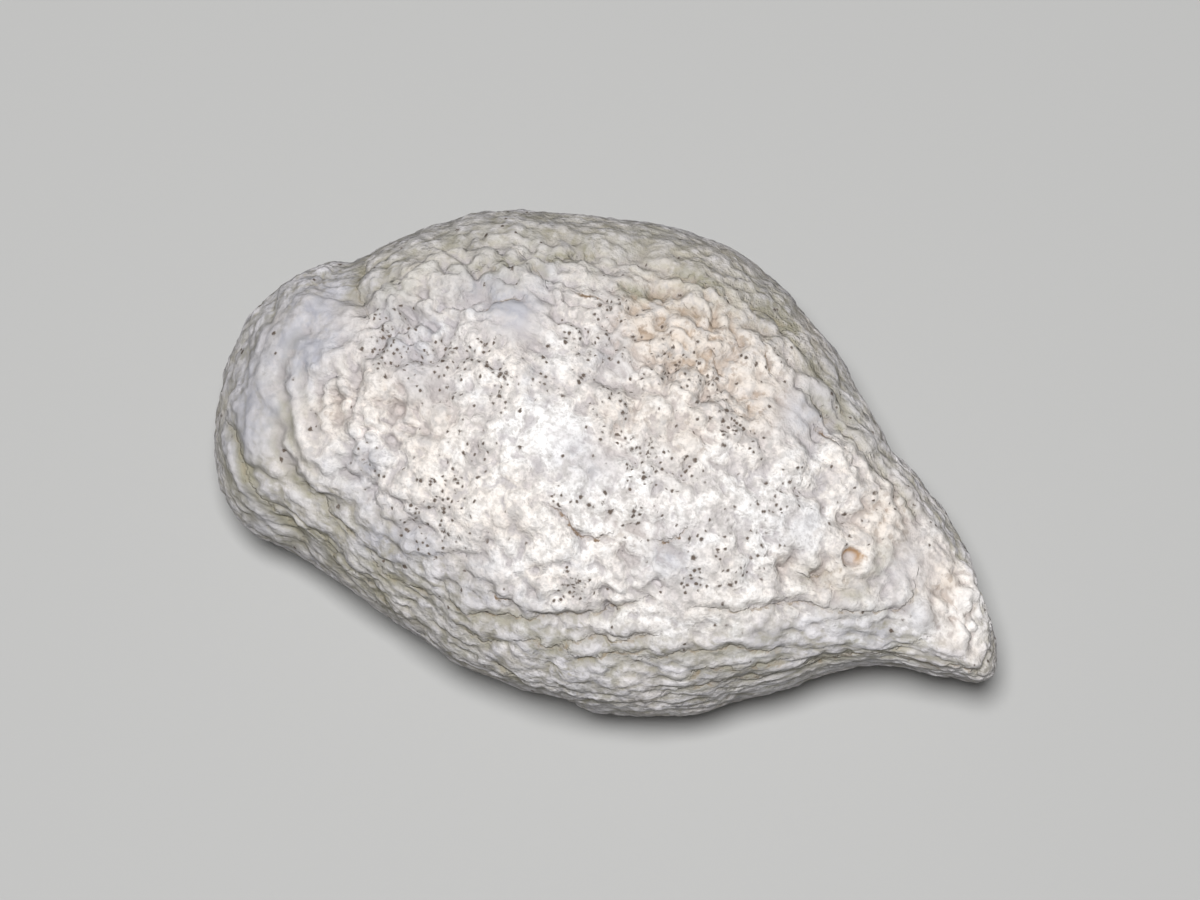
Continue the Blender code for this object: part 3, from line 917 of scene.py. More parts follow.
@dataclass
class Crust:
    """The relief on the bare form, and the measures that the finish reads."""

    form: StoneForm
    plane: DrawingPlane = DrawingPlane()
    ring: Ring = Ring()
    layers: Layers = Layers()
    skin: Skin = Skin()
    limb: Limb = Limb()
    lumps: NoiseSum = NoiseSum(11, ((14.0, 0.80), (6.5, 0.40), (3.2, 0.20)))
    wander_right: NoiseSum = NoiseSum(61, ((3.0, 0.28), (1.0, 0.10)))
    wander_up: NoiseSum = NoiseSum(63, ((3.0, 0.28), (1.0, 0.10)))
    facing_start: float = 0.02
    facing_fade: float = 0.3
    steep_gain: float = 1.25
    steep_calm: float = 0.76
    calm_slack: float = 0.25
    top_slack: float = 0.2
    top_start: float = 8.0
    top_fade: float = 6.0
    socket_wander: float = 0.35
    skin_least: float = 0.82
    craggy_gain: float = 0.9
    steep_loss: float = 0.45
    quiet_height: float = 1.6
    quiet_end: float = 0.10
    line_reach: float = 0.8
    line_fade: float = 6.0
    veil_reach: float = 0.45
    veil_gain: float = 1.4
    most_olive: float = 1.5

    def measure(self, directions: np.ndarray) -> tuple[np.ndarray, dict[str, np.ndarray]]:
        """Work out the finished surface.

        Args:
            directions: unit vectors, one row each.

        Returns:
            The points in millimetres, and the named measures that the finish reads.
        """
        points = self.form.points(directions)
        normals = self.form.normals(directions)
        toward = normals @ self.plane.axes()[2]
        facing = ease((toward - self.facing_start) / self.facing_fade)
        straight = self.plane.places(points)
        wander = np.stack([self.wander_right.at(points), self.wander_up.at(points)], axis=1)
        places = straight + wander
        steepness = ease(self.steep_gain * (1 - normals[:, 2] ** 2))
        calm = total_weight(SMOOTH_PATCHES, places) * facing
        density = total_weight(PORE_CLUSTERS, places) * facing
        craggy = total_weight(CRAGGY_PATCHES, places) * facing
        slack = steepness * (1 - self.calm_slack * calm)
        slack *= 1 - self.top_slack * ease((straight[:, 1] - self.top_start) / self.top_fade) * facing
        limb = np.exp(-((toward / self.limb.width) ** 2))
        limb *= ease((points[:, 2] - self.limb.start) / self.limb.fade)

        drawn, lines = self.draw_folds(places)
        for spot in SWELLS.values():
            drawn += spot.weight(straight)
        socket = straight + self.socket_wander * wander
        drawn += self.ring.relief(socket)
        ring_right, ring_up, ring_far = self.ring.offsets(socket)

        level = self.form.wrap_level(points)
        slack *= 1 - self.limb.layer_loss * limb
        layered, seam, streak = self.layers.relief(points, level, slack, calm)
        height = self.lumps.at(points) * (1 - self.limb.lump_loss * limb) + layered
        skin_calm = np.maximum(calm, self.steep_calm * steepness + self.limb.skin_calm * limb)
        height += self.skin.relief(points, skin_calm) * (self.skin_least + self.craggy_gain * craggy)
        height += self.skin.pit_relief(points, density) + drawn * facing * (1 - self.steep_loss * steepness)
        edge = np.exp(-((toward / self.limb.trim_width) ** 2))
        for spot in EDGE_TRIMS:
            height += spot.weight(straight) * edge
        around = np.hypot(directions[:, 1], directions[:, 2])
        height *= ease(points[:, 2] / self.quiet_height) * ease(around / self.quiet_end)
        points = points + height[:, None] * normals
        points[:, 2] = np.maximum(points[:, 2], 0.0)
        olive = total_weight(OLIVE_VEILS_AND_TOP_SHADE, places) + self.veil_gain * lines["veil"]
        reach = self.ring.reach
        measures = {
            "relief": height,
            "fold_near": lines["near"] * facing,
            "fold_side": lines["side"],
            "fold_ink": lines["dark"] * facing,
            "steep": steepness,
            "tan": total_weight(TAN_STAINS, places) * facing,
            "cool": total_weight(COOL_AND_LOBE_SHADE_PATCHES, places) * facing,
            "white": total_weight(WHITE_AND_HIGHLIGHT_PATCHES, places) * facing,
            "olive": np.minimum(olive, self.most_olive) * facing,
            "calm": calm,
            "seam": seam,
            "streak": streak,
            "pores": density,
            "fresh": TIP_BREAK.weight(places) * facing,
            "ring_right": np.clip(ring_right, -reach, reach),
            "ring_up": np.clip(ring_up, -reach, reach),
            "ring_near": ease(self.ring.rust_and_shadow_end - ring_far / self.ring.rim_radius) * facing,
        }
        return points, measures

    def draw_folds(self, places: np.ndarray) -> tuple[np.ndarray, dict[str, np.ndarray]]:
        """Add up the folds, and mark their lines so that the finish can draw them finely.

        The near measure is 1 on a line and 0 at the line's reach. The side measure is the
        signed distance over the reach, brought back to 0 there, so it is 0 on the line.

        Args:
            places: rows of right and up on the drawing plane.

        Returns:
            The height, and by name the near and side measures, how dark the nearest line is
            and the share of olive veil.
        """
        height, near, side, dark, veil = np.zeros((5, len(places)))
        for fold in FOLDS.values():
            signed, along = fold.across(places)
            height += fold.relief(signed, along)
            held = ease(self.line_fade * np.minimum(along, 1 - along))
            veil = np.maximum(veil, fold.veil * held * np.exp(-((signed / self.veil_reach) ** 2)))
            if fold.ink is Ink.NONE:
                continue
            closeness = np.clip(1 - np.abs(signed) / self.line_reach, 0.0, 1.0)
            closer = closeness > near
            side = np.where(closer, signed / self.line_reach * closeness, side)
            dark = np.where(closer, fold.ink.value * held, dark)
            near = np.maximum(near, closeness)
        return height, {"near": near, "side": side, "dark": dark, "veil": veil}


# ---------------------------------------------------------------- the finish


@dataclass(frozen=True)
class Ramp:
    """An eased change from start to end, as a value goes from low to high."""

    low: float
    high: float
    start: float = 0.0
    end: float = 1.0


@dataclass(frozen=True)
class Fractal:
    """A fractal noise: the size in millimetres of its largest features, its detail and roughness."""

    size: float
    detail: float = 3.0
    rough: float = 0.6


class NodeSketch:
    """A material's node tree, with a short method for each kind of node that the finish uses."""

    def __init__(self, name: str) -> None:
        """Start a material whose tree has only its shader and output.

        Args:
            name: the material's name.
        """
        self.material = bpy.data.materials.new(name)
        self.material.use_nodes = True
        self.tree = self.material.node_tree
        self.shader = self.tree.nodes["Principled BSDF"]

    def feed(self, socket: Socket, value: object) -> None:
        """Link a socket to value, or set it where value is a plain number or colour.

        Args:
            socket: an input.
            value: an output, a number or a colour.
        """
        if isinstance(value, Socket):
            self.tree.links.new(value, socket)
        else:
            socket.default_value = value

    def node(self, kind: str, inputs: dict[int | str, object], **settings: object) -> bpy.types.Node:
        """Make a node.

        Args:
            kind: Blender's name for the kind of node.
            inputs: what feeds each input, by its name or number.
            settings: the node's own settings, by name.

        Returns:
            The node.
        """
        node = self.tree.nodes.new(kind)
        for name, setting in settings.items():
            setattr(node, name, setting)
        for socket, value in inputs.items():
            self.feed(node.inputs[socket], value)
        return node

    def attribute(self, name: str) -> Socket:
        """Read a measure that the mesh keeps at its points."""
        return self.node("ShaderNodeAttribute", {}, attribute_name=name).outputs["Fac"]

    def place(self) -> Socket:
        """Object coordinates in millimetres."""
        inputs = {0: self.node("ShaderNodeTexCoord", {}).outputs["Object"], "Scale": 1.0 / MILLIMETRE}
        return self.node("ShaderNodeVectorMath", inputs, operation="SCALE").outputs[0]

    def noise(self, place: Socket, fractal: Fractal) -> Socket:
        """Fractal noise, about 0.5 on the mean, read at place in millimetres."""
        form = {"Scale": 1.0 / fractal.size, "Detail": fractal.detail, "Roughness": fractal.rough}
        return self.node("ShaderNodeTexNoise", {"Vector": place, **form}).outputs["Fac"]

    def bent(self, place: Socket, noise: Socket, reach: float) -> Socket:
        """Push place about by the colour of a noise, by up to about half of reach each way."""
        inputs = {0: noise.node.outputs["Color"], 1: (reach, reach, reach), 2: place}
        return self.node("ShaderNodeVectorMath", inputs, operation="MULTIPLY_ADD").outputs[0]

    def cells(self, place: Socket, size: float) -> tuple[Socket, Socket]:
        """Scattered points about size millimetres apart: distance to the nearest, and its own number."""
        cells = self.node("ShaderNodeTexVoronoi", {"Vector": place, "Scale": 1.0 / size}).outputs
        return cells["Distance"], self.node("ShaderNodeSeparateColor", {0: cells["Color"]}).outputs[0]

    def math(self, operation: str, first: object, second: object = 0.0, clamp: bool = False) -> Socket:
        """One step of arithmetic."""
        inputs = {0: first, 1: second}
        return self.node("ShaderNodeMath", inputs, operation=operation, use_clamp=clamp).outputs[0]

    def times(self, first: object, second: object, clamp: bool = False) -> Socket:
        """Multiply two values."""
        return self.math("MULTIPLY", first, second, clamp)

    def plus(self, first: object, second: object, clamp: bool = False) -> Socket:
        """Add two values."""
        return self.math("ADD", first, second, clamp)

    def span(self, value: object, ramp: Ramp) -> Socket:
        """Ease value along a ramp."""
        inputs = dict(enumerate((value, ramp.low, ramp.high, ramp.start, ramp.end)))
        return self.node("ShaderNodeMapRange", inputs, interpolation_type="SMOOTHSTEP").outputs[0]

    def measured(self, name: str, ramp: Ramp) -> Socket:
        """Ease a measure of the mesh along a ramp."""
        return self.span(self.attribute(name), ramp)

    def jitter(self, noise: Socket, reach: float) -> Socket:
        """Spread the common values of a noise over reach each way about 0."""
        return self.span(noise, Ramp(*NOISE_SPREAD, -reach, reach))

    def blend(self, share: object, first: object, second: object) -> Socket:
        """Mix two colours."""
        return self.node("ShaderNodeMix", {0: share, 6: first, 7: second}, data_type="RGBA").outputs[2]

    def bump(self, height: Socket) -> Socket:
        """Bump from a height in millimetres."""
        return self.node("ShaderNodeBump", {"Distance": MILLIMETRE, "Height": height}).outputs[0]


@dataclass(frozen=True)
class Noises:
    """The noises that the steps of a finish share, and the place in millimetres where they're read."""

    place: Socket
    broad: Socket
    mottle: Socket
    speckle: Socket
    grain: Socket


def colour(red: int, green: int, blue: int) -> Colour:
    """Turn a display colour of 0 to 255 a channel into linear light."""
    shares = (channel / 255 for channel in (red, green, blue))
    return (*(s / 12.92 if s <= 0.04045 else ((s + 0.055) / 1.055) ** 2.4 for s in shares), 1.0)


@dataclass(frozen=True)
class PoreSize:
    """One size of pore: how far apart they could be, their radius, and the least and most kept."""

    spacing: float
    radius: float
    least: float
    most: float


@dataclass(frozen=True)
class ChalkyStone:
    """Chalky phosphate crust: cream and bluish white, stained tan and olive, with pin-prick pores; painted
    shade greys its steep flanks, hollows and grain gaps, and painted highlight lightens its proud tops.

    A ramp is named for the colour that it lays on and the noise or measure that it reads.
    """

    cream: Colour = colour(238, 229, 220)
    white: Colour = colour(247, 245, 244)
    cool: Colour = colour(172, 172, 180)
    tan: Colour = colour(214, 202, 190)
    tan_grain: Colour = colour(158, 138, 120)
    shade: Colour = colour(190, 184, 186)
    olive: Colour = colour(156, 152, 136)
    # olive for the flanks' seams, and in their hollows dust with painted shade
    groove: Colour = colour(144, 139, 122)
    # pale scales on the flanks, also laid as painted highlight on the flanks' proud tops
    scale_and_highlight: Colour = colour(226, 223, 227)
    # dust and painted shade for the hollows: grey, and tan in the tan stains
    dust_and_shade: Colour = colour(166, 161, 163)
    tan_dust_and_shade: Colour = colour(160, 142, 124)
    line: Colour = colour(158, 144, 116)
    crack: Colour = colour(128, 108, 88)
    pore: Colour = colour(92, 80, 71)
    # rust, darkened as painted shadow on the socket's far inner wall
    rust_and_shadow: Colour = colour(160, 124, 82)
    # grey of the fine grain and speckle, also laid as painted shade in the gaps between grains
    grain: Colour = colour(176, 172, 169)
    # painted shade: a cool grey laid on the steep flanks, where they turn away from the light
    flank: Colour = colour(152, 152, 157)
    roughness: float = 0.92
    specular: float = 0.3
    grain_depth: float = 0.09
    speckle_depth: float = 0.24
    line_depth: float = 0.06
    depth_calm: Ramp = Ramp(0.0, 1.0, 1.0, 0.35)

    broad_noise: Fractal = Fractal(6.0)
    mottle_noise: Fractal = Fractal(2.2, detail=4.0, rough=0.65)
    speckle_noise: Fractal = Fractal(0.7)
    grain_noise: Fractal = Fractal(0.28)

    white_mottle: Ramp = Ramp(0.42, 0.66, 0.0, 0.8)
    shade_mottle: Ramp = Ramp(0.52, 0.36, 0.0, 0.6)
    grain_grain: Ramp = Ramp(0.54, 0.34, 0.0, 0.5)
    grain_speckle: Ramp = Ramp(0.52, 0.34, 0.0, 0.6)
    # painted shade on the steep flanks, by steepness and less on the pale mottle
    flank_shade_steep: Ramp = Ramp(0.2, 0.9, 0.0, 0.66)
    flank_shade_mottle: Ramp = Ramp(0.38, 0.62, 1.2, 0.7)
    streak_steep: Ramp = Ramp(0.15, 0.8)
    streak_jitter: float = 0.55
    scale_streak: Ramp = Ramp(0.1, 0.8, 0.0, 0.55)
    olive_streak: Ramp = Ramp(-0.1, -0.8, 0.0, 0.62)
    cool_broad: Ramp = Ramp(0.52, 0.72, 0.0, 0.5)
    cool_mottle: Ramp = Ramp(0.30, 0.55, 0.35, 1.0)
    tan_broad: Ramp = Ramp(0.50, 0.30, 0.0, 0.35)
    tan_mottle: Ramp = Ramp(0.35, 0.62, 0.45, 0.95)
    tan_speckle: Ramp = Ramp(0.47, 0.35, 0.0, 0.75)
    olive_mottle: Ramp = Ramp(0.35, 0.6, 0.4, 0.75)
    white_fresh: Ramp = Ramp(0.3, 0.9, 0.0, 0.6)

    # painted shade in the gaps between the small grains
    gap_size: float = 0.62
    gap_bend: Fractal = Fractal(0.8, detail=1.0, rough=0.55)
    gap_reach: float = 0.5
    gap_edge: Ramp = Ramp(0.42, 0.72)
    gap_calm: Ramp = Ramp(0.0, 1.0, 0.9, 0.2)
    gap_mottle: Ramp = Ramp(0.35, 0.6, 0.75, 0.25)

    # dust and painted shade in the hollows, olive on the steep flanks
    dust_and_shade_hollow: Ramp = Ramp(0.1, 2.6)
    dust_and_shade_mottle: Ramp = Ramp(0.3, 0.6, 0.5, 0.9)
    groove_steep: Ramp = Ramp(0.3, 1.0)
    # painted highlight on proud tops: pale on the flanks, white on the crown
    flank_highlight: Ramp = Ramp(-0.1, -0.9)
    flank_highlight_share: float = 0.35
    crown_highlight: Ramp = Ramp(-0.2, -1.0)
    crown_highlight_share: float = 0.1
    crown_highlight_steep: Ramp = Ramp(0.6, 0.1)

    seam_jitter: float = 0.15
    seam_edge: Ramp = Ramp(0.62, 1.0)
    seam_steep: Ramp = Ramp(0.15, 0.7)
    seam_mottle: Ramp = Ramp(0.34, 0.6, 0.85, 0.25)
    seam_calm: Ramp = Ramp(0.2, 1.0, 1.0, 0.4)

    # the socket's rusty wall, with painted shadow on its far side
    wall_middle: float = 0.62
    wall_half: float = 0.38
    wall_jitter: float = 0.12
    wall_lean: float = 0.3
    wall_side: Ramp = Ramp(-0.7, 0.4, 0.1, 0.85)

    line_jitter: float = 0.14
    line_edge: Ramp = Ramp(0.15, 0.02)
    line_near: Ramp = Ramp(0.5, 0.75)
    line_speckle: Ramp = Ramp(0.38, 0.62, 0.15, 1.0)

    pore_sizes: tuple[PoreSize, ...] = (
        PoreSize(0.42, radius=0.42, least=0.012, most=0.6),
        PoreSize(0.78, radius=0.32, least=0.025, most=0.78),
    )
    pore_patches: Fractal = Fractal(1.6, detail=2.0, rough=0.55)
    pore_patchy: Ramp = Ramp(0.36, 0.60, 0.45, 1.5)
    pore_ragged: float = 0.10
    pore_range: tuple[float, float] = (0.1, 1.0)
    pore_floor: float = 0.4
    pore_share: float = 0.95
    halo_edge: float = 1.9
    halo_floor: float = 0.7
    halo_share: float = 0.4

    def make(self) -> bpy.types.Material:
        """Build the material's nodes.

        Returns:
            The material.
        """
        sketch = NodeSketch("chalky stone")
        place = sketch.place()
        forms = (self.broad_noise, self.mottle_noise, self.speckle_noise, self.grain_noise)
        noises = Noises(place, *(sketch.noise(place, form) for form in forms))
        base = self.ground(sketch, noises)
        # painted shade: the gaps between the small grains are greyed, as the grains have no bump
        gap = sketch.times(self.gaps(sketch, place), sketch.measured("calm", self.gap_calm))
        base = sketch.blend(sketch.times(gap, sketch.span(noises.mottle, self.gap_mottle)), base, self.grain)
        base = self.hollows(sketch, noises, base)
        base = sketch.blend(self.seams(sketch, noises), base, self.groove)
        # rust on the socket's wall, with painted shadow on its far side
        base = sketch.blend(self.rust_and_shadow_wall(sketch, noises), base, self.rust_and_shadow)
        base, line = self.lines(sketch, noises, base)
        base = self.pores(sketch, noises, base)
        sketch.feed(sketch.shader.inputs["Base Color"], base)
        sketch.shader.inputs["Roughness"].default_value = self.roughness
        sketch.shader.inputs["Specular IOR Level"].default_value = self.specular
        height = sketch.times(noises.grain, self.grain_depth)
        height = sketch.plus(height, sketch.times(noises.speckle, self.speckle_depth))
        height = sketch.times(height, sketch.measured("calm", self.depth_calm))
        height = sketch.math("SUBTRACT", height, sketch.times(line, self.line_depth))
        sketch.feed(sketch.shader.inputs["Normal"], sketch.bump(height))
        return sketch.material

    def gaps(self, sketch: NodeSketch, place: Socket) -> Socket:
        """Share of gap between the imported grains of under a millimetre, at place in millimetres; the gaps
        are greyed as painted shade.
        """
        bent = sketch.bent(place, sketch.noise(place, self.gap_bend), self.gap_reach)
        return sketch.span(sketch.cells(bent, self.gap_size)[0], self.gap_edge)

    def ground(self, sketch: NodeSketch, noises: Noises) -> Socket:
        """Lay white and bluish patches, streaks and the broad stains over a cream crust, and grey the steep
        flanks with painted shade. The strongest white patch is painted highlight, and the bluish patches on
        the left lobe and the olive veils along the top band are partly painted shade.

        Args:
            sketch: the node tree.
            noises: the shared noises.

        Returns:
            The colour.
        """
        mottle, speckle = noises.mottle, noises.speckle
        pale = sketch.plus(sketch.span(mottle, self.white_mottle), sketch.attribute("white"), clamp=True)
        grey = sketch.measured("steep", self.flank_shade_steep)
        steep = sketch.measured("steep", self.streak_steep)
        streak = sketch.plus(sketch.attribute("streak"), sketch.jitter(speckle, self.streak_jitter))
        cool = sketch.plus(sketch.attribute("cool"), sketch.span(noises.broad, self.cool_broad))
        tan = sketch.plus(sketch.attribute("tan"), sketch.span(noises.broad, self.tan_broad))
        brown = sketch.span(speckle, self.tan_speckle)
        veil = sketch.span(mottle, self.olive_mottle)
        coats = (
            # white patches, the strongest of them a painted highlight
            (pale, self.white),
            (sketch.span(mottle, self.shade_mottle), self.shade),
            (sketch.span(noises.grain, self.grain_grain), self.grain),
            (sketch.span(speckle, self.grain_speckle), self.grain),
            # painted shade: the steep flanks are greyed where they turn away from the light
            (sketch.times(grey, sketch.span(mottle, self.flank_shade_mottle)), self.flank),
            (sketch.times(sketch.span(streak, self.scale_streak), steep), self.scale_and_highlight),
            (sketch.times(sketch.span(streak, self.olive_streak), steep), self.olive),
            # bluish-grey patches, on the left lobe partly painted shade
            (sketch.times(cool, sketch.span(mottle, self.cool_mottle), clamp=True), self.cool),
            (sketch.times(tan, sketch.span(mottle, self.tan_mottle), clamp=True), self.tan),
            (sketch.times(sketch.attribute("tan"), brown, clamp=True), self.tan_grain),
            # olive veils, along the top band partly painted shade
            (sketch.times(sketch.attribute("olive"), veil, clamp=True), self.olive),
            (sketch.measured("fresh", self.white_fresh), self.white),
        )
        base = self.cream
        for share, tint in coats:
            base = sketch.blend(share, base, tint)
        return base

    def rust_and_shadow_wall(self, sketch: NodeSketch, noises: Noises) -> Socket:
        """Share of rust and painted shadow on the socket's wall, most of it on the far side and the right,
        where the pit's shadow falls.

        Args:
            sketch: the node tree.
            noises: the shared noises.

        Returns:
            The share.
        """
        right, up = sketch.attribute("ring_right"), sketch.attribute("ring_up")
        square = sketch.plus(sketch.times(right, right), sketch.times(up, up))
        distance = sketch.plus(sketch.math("SQRT", square), sketch.jitter(noises.speckle, self.wall_jitter))
        inner = sketch.span(distance, Ramp(self.wall_middle - self.wall_half, self.wall_middle))
        outer = sketch.span(distance, Ramp(self.wall_middle + self.wall_half, self.wall_middle))
        side = sketch.plus(up, sketch.times(right, self.wall_lean))
        share = sketch.times(sketch.times(inner, outer), sketch.span(side, self.wall_side))
        return sketch.times(share, sketch.attribute("ring_near"), clamp=True)

    def hollows(self, sketch: NodeSketch, noises: Noises, base: Socket) -> Socket:
        """Lay dust and painted shade in the hollows, tan on the crown and olive on the flanks, and painted
        highlight on proud tops, pale on the flanks' scales and white on the crown.

        Args:
            sketch: the node tree.
            noises: the shared noises.
            base: the colour so far.

        Returns:
            The colour.
        """
        deep = sketch.measured("hollow", self.dust_and_shade_hollow)
        # painted highlight: the flanks' proud tops are paled and the crown's whitened
        proud = sketch.times(sketch.measured("hollow", self.flank_highlight), sketch.attribute("steep"))
        base = sketch.blend(sketch.times(proud, self.flank_highlight_share), base, self.scale_and_highlight)
        tops = sketch.times(sketch.measured("hollow", self.crown_highlight), self.crown_highlight_share)
        base = sketch.blend(sketch.times(tops, sketch.measured("steep", self.crown_highlight_steep)), base, self.white)
        tint = sketch.blend(sketch.attribute("tan"), self.dust_and_shade, self.tan_dust_and_shade)
        tint = sketch.blend(sketch.measured("steep", self.groove_steep), tint, self.groove)
        # dust and painted shade darken the hollows
        dust_and_shade = sketch.times(deep, sketch.span(noises.mottle, self.dust_and_shade_mottle), clamp=True)
        return sketch.blend(dust_and_shade, base, tint)

    def seams(self, sketch: NodeSketch, noises: Noises) -> Socket:
        """Share of olive line in the seams between the flanks' slats, uneven and here and there clean.

        Args:
            sketch: the node tree.
            noises: the shared noises.

        Returns:
            The share.
        """
        near = sketch.plus(sketch.attribute("seam"), sketch.jitter(noises.speckle, self.seam_jitter))
        share = sketch.times(sketch.span(near, self.seam_edge), sketch.measured("steep", self.seam_steep))
        share = sketch.times(share, sketch.span(noises.mottle, self.seam_mottle))
        return sketch.times(share, sketch.measured("calm", self.seam_calm))

    def lines(self, sketch: NodeSketch, noises: Noises, base: Socket) -> tuple[Socket, Socket]:
        """Draw fine brown lines along the folds, and darker ones along the cracks.

        Args:
            sketch: the node tree.
            noises: the shared noises.
            base: the colour so far.

        Returns:
            The colour and the share of line.
        """
        side = sketch.plus(sketch.attribute("fold_side"), sketch.jitter(noises.speckle, self.line_jitter))
        thin = sketch.span(sketch.math("ABSOLUTE", side), self.line_edge)
        line = sketch.times(thin, sketch.measured("fold_near", self.line_near))
        ink = sketch.attribute("fold_ink")
        share = sketch.times(sketch.times(line, sketch.span(noises.speckle, self.line_speckle)), ink)
        return sketch.blend(share, base, sketch.blend(ink, self.line, self.crack)), line

    def pores(self, sketch: NodeSketch, noises: Noises, base: Socket) -> Socket:
        """Prick pores with soft halos, dense in their clusters; as the pores have no bump, their dark dots
        are partly painted shade in the pits, partly the stone's dark specks.

        A pore's colour is full within its floor, a share of its radius, and gone at the
        radius. A halo has its own floor and edge in the same way.

        Args:
            sketch: the node tree.
            noises: the shared noises, of which the grain makes the pores ragged.
            base: the colour so far.

        Returns:
            The colour.
        """
        patchy = sketch.span(sketch.noise(noises.place, self.pore_patches), self.pore_patchy)
        density = sketch.times(sketch.attribute("pores"), patchy)
        ragged = sketch.jitter(noises.grain, self.pore_ragged)
        dots, halos = [], []
        for pore in self.pore_sizes:
            distance, number = sketch.cells(noises.place, pore.spacing)
            distance = sketch.plus(distance, ragged)
            kept = sketch.span(density, Ramp(*self.pore_range, pore.least, pore.most))
            kept = sketch.math("LESS_THAN", number, kept)
            dot = Ramp(pore.radius, pore.radius * self.pore_floor)
            halo = Ramp(pore.radius * self.halo_edge, pore.radius * self.halo_floor)
            dots.append(sketch.times(sketch.span(distance, dot), kept))
            halos.append(sketch.times(sketch.span(distance, halo), kept))
        dot, halo = (sketch.math("MAXIMUM", *pair) for pair in (dots, halos))
        base = sketch.blend(sketch.times(halo, self.halo_share), base, self.grain)
        # dark pore dots: dark specks, and partly painted shade in the pits
        return sketch.blend(sketch.times(dot, self.pore_share), base, self.pore)


# ---------------------------------------------------------------- the stone


@dataclass
class Stone:
    """The one piece: the crust on a grid of rings from end to end."""

    crust: Crust
    finish: ChalkyStone = ChalkyStone()
    rings: int = 262
    columns: int = 378
    crowding: float = 0.12
    crown_crowding: float = 0.3
    flank_crowding: float = 0.1
    hollow_depth: float = 0.22
    near_steps: int = 2
    wide_steps: int = 6
    near_share: float = 0.6
    wide_share: float = 0.7
    hollow_range: tuple[float, float] = (-1.0, 2.0)

    def directions(self) -> np.ndarray:
        """Place the grid on the unit sphere, the blunt pole first and the tip last.

        A ring's turn is s + k sin 2s, for even steps of s, which crowds the rings at the
        stone's middle. A column's angle is t + c cos t - f sin 2t / 2, which crowds the
        columns on the crown and the flanks.

        Returns:
            Unit vectors, one row each.
        """
        even = np.arange(1, self.rings + 1) * math.pi / (self.rings + 1)
        turn = even + self.crowding * np.sin(2 * even)
        step = np.arange(self.columns) * 2 * math.pi / self.columns
        angle = step + self.crown_crowding * np.cos(step) - self.flank_crowding / 2 * np.sin(2 * step)
        x = np.repeat(-np.cos(turn), self.columns)
        y = np.outer(np.sin(turn), np.cos(angle)).ravel()
        z = np.outer(np.sin(turn), np.sin(angle)).ravel()
        body = np.stack([x, y, z], axis=1)
        return np.concatenate([[[-1.0, 0.0, 0.0]], body, [[1.0, 0.0, 0.0]]])

    def faces(self) -> tuple[np.ndarray, np.ndarray]:
        """Join the rings.

        Returns:
            The four corners of each quad between rings, and the three of each end face.
        """
        column = np.arange(self.columns)
        beside = (column + 1) % self.columns
        first = 1 + np.arange(self.rings - 1)[:, None] * self.columns
        quads = np.stack([
            first + column, first + beside, first + self.columns + beside, first + self.columns + column
        ], axis=2).reshape(-1, 4)
        last = 1 + (self.rings - 1) * self.columns
        tip = 1 + self.rings * self.columns
        blunt_fan = np.stack([np.zeros_like(column), 1 + beside, 1 + column], axis=1)
        tip_fan = np.stack([np.full_like(column, tip), last + column, last + beside], axis=1)
        return quads, np.concatenate([blunt_fan, tip_fan])

    def blurred(self, values: np.ndarray, reach: int) -> np.ndarray:
        """Average a measure over the grid steps on each side, along the rings and across them.

        Args:
            values: the measure, in the order of the points.
            reach: grid steps each way.

        Returns:
            The averages, in the same order.
        """
        grid = values[1:-1].reshape(self.rings, self.columns)
        padded = np.pad(grid, ((reach, reach), (0, 0)), mode="edge")
        padded = np.pad(padded, ((0, 0), (reach, reach)), mode="wrap")
        width = 2 * reach + 1
        total = np.cumsum(np.pad(padded, ((1, 0), (0, 0))), axis=0)
        padded = (total[width:] - total[:-width]) / width
        total = np.cumsum(np.pad(padded, ((0, 0), (1, 0))), axis=1)
        padded = (total[:, width:] - total[:, :-width]) / width
        return np.concatenate([values[:1], padded.ravel(), values[-1:]])

    def mesh(self) -> bpy.types.Mesh:
        """Fill a mesh with the crust's points, and keep its measures as attributes.

        Returns:
            The mesh.
        """
        points, measures = self.crust.measure(self.directions())
        relief = measures.pop("relief")
        # the hollow measure sets the painted shade in the hollows and the painted highlight on proud tops
        hollow = (self.blurred(relief, self.near_steps) - relief) / (self.near_share * self.hollow_depth)
        hollow += self.wide_share * (self.blurred(relief, self.wide_steps) - relief) / self.hollow_depth
        measures["hollow"] = np.clip(hollow, *self.hollow_range)
        quads, fans = self.faces()
        mesh = bpy.data.meshes.new(NODE)
        mesh.vertices.add(len(points))
        mesh.vertices.foreach_set("co", (points * MILLIMETRE).ravel())
        mesh.loops.add(quads.size + fans.size)
        mesh.loops.foreach_set("vertex_index", np.concatenate([quads.ravel(), fans.ravel()]))
        sizes = np.concatenate([np.full(len(quads), 4), np.full(len(fans), 3)])
        mesh.polygons.add(len(sizes))
        mesh.polygons.foreach_set("loop_start", np.concatenate([[0], np.cumsum(sizes)[:-1]]))
        mesh.polygons.foreach_set("loop_total", sizes)
        mesh.update(calc_edges=True)
        mesh.validate()
        mesh.shade_smooth()
        for name, values in measures.items():
            kept = mesh.attributes.new(name, "FLOAT", "POINT")
            kept.data.foreach_set("value", values.astype(np.float32))
        return mesh

    def build(self) -> bpy.types.Object:
        """Make the stone, dress it and put it in place of its solid.

        Returns:
            The stone's object.
        """
        mesh = self.mesh()
        mesh.materials.append(self.finish.make())
        stone = bpy.data.objects.new("coprolite_stone", mesh)
        bpy.context.scene.collection.objects.link(stone)
        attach(stone, BODY)
        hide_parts(NODE)
        log.info("stone: %d points, %d faces", len(mesh.vertices), len(mesh.polygons))
        return stone


# ---------------------------------------------------------------- the studio


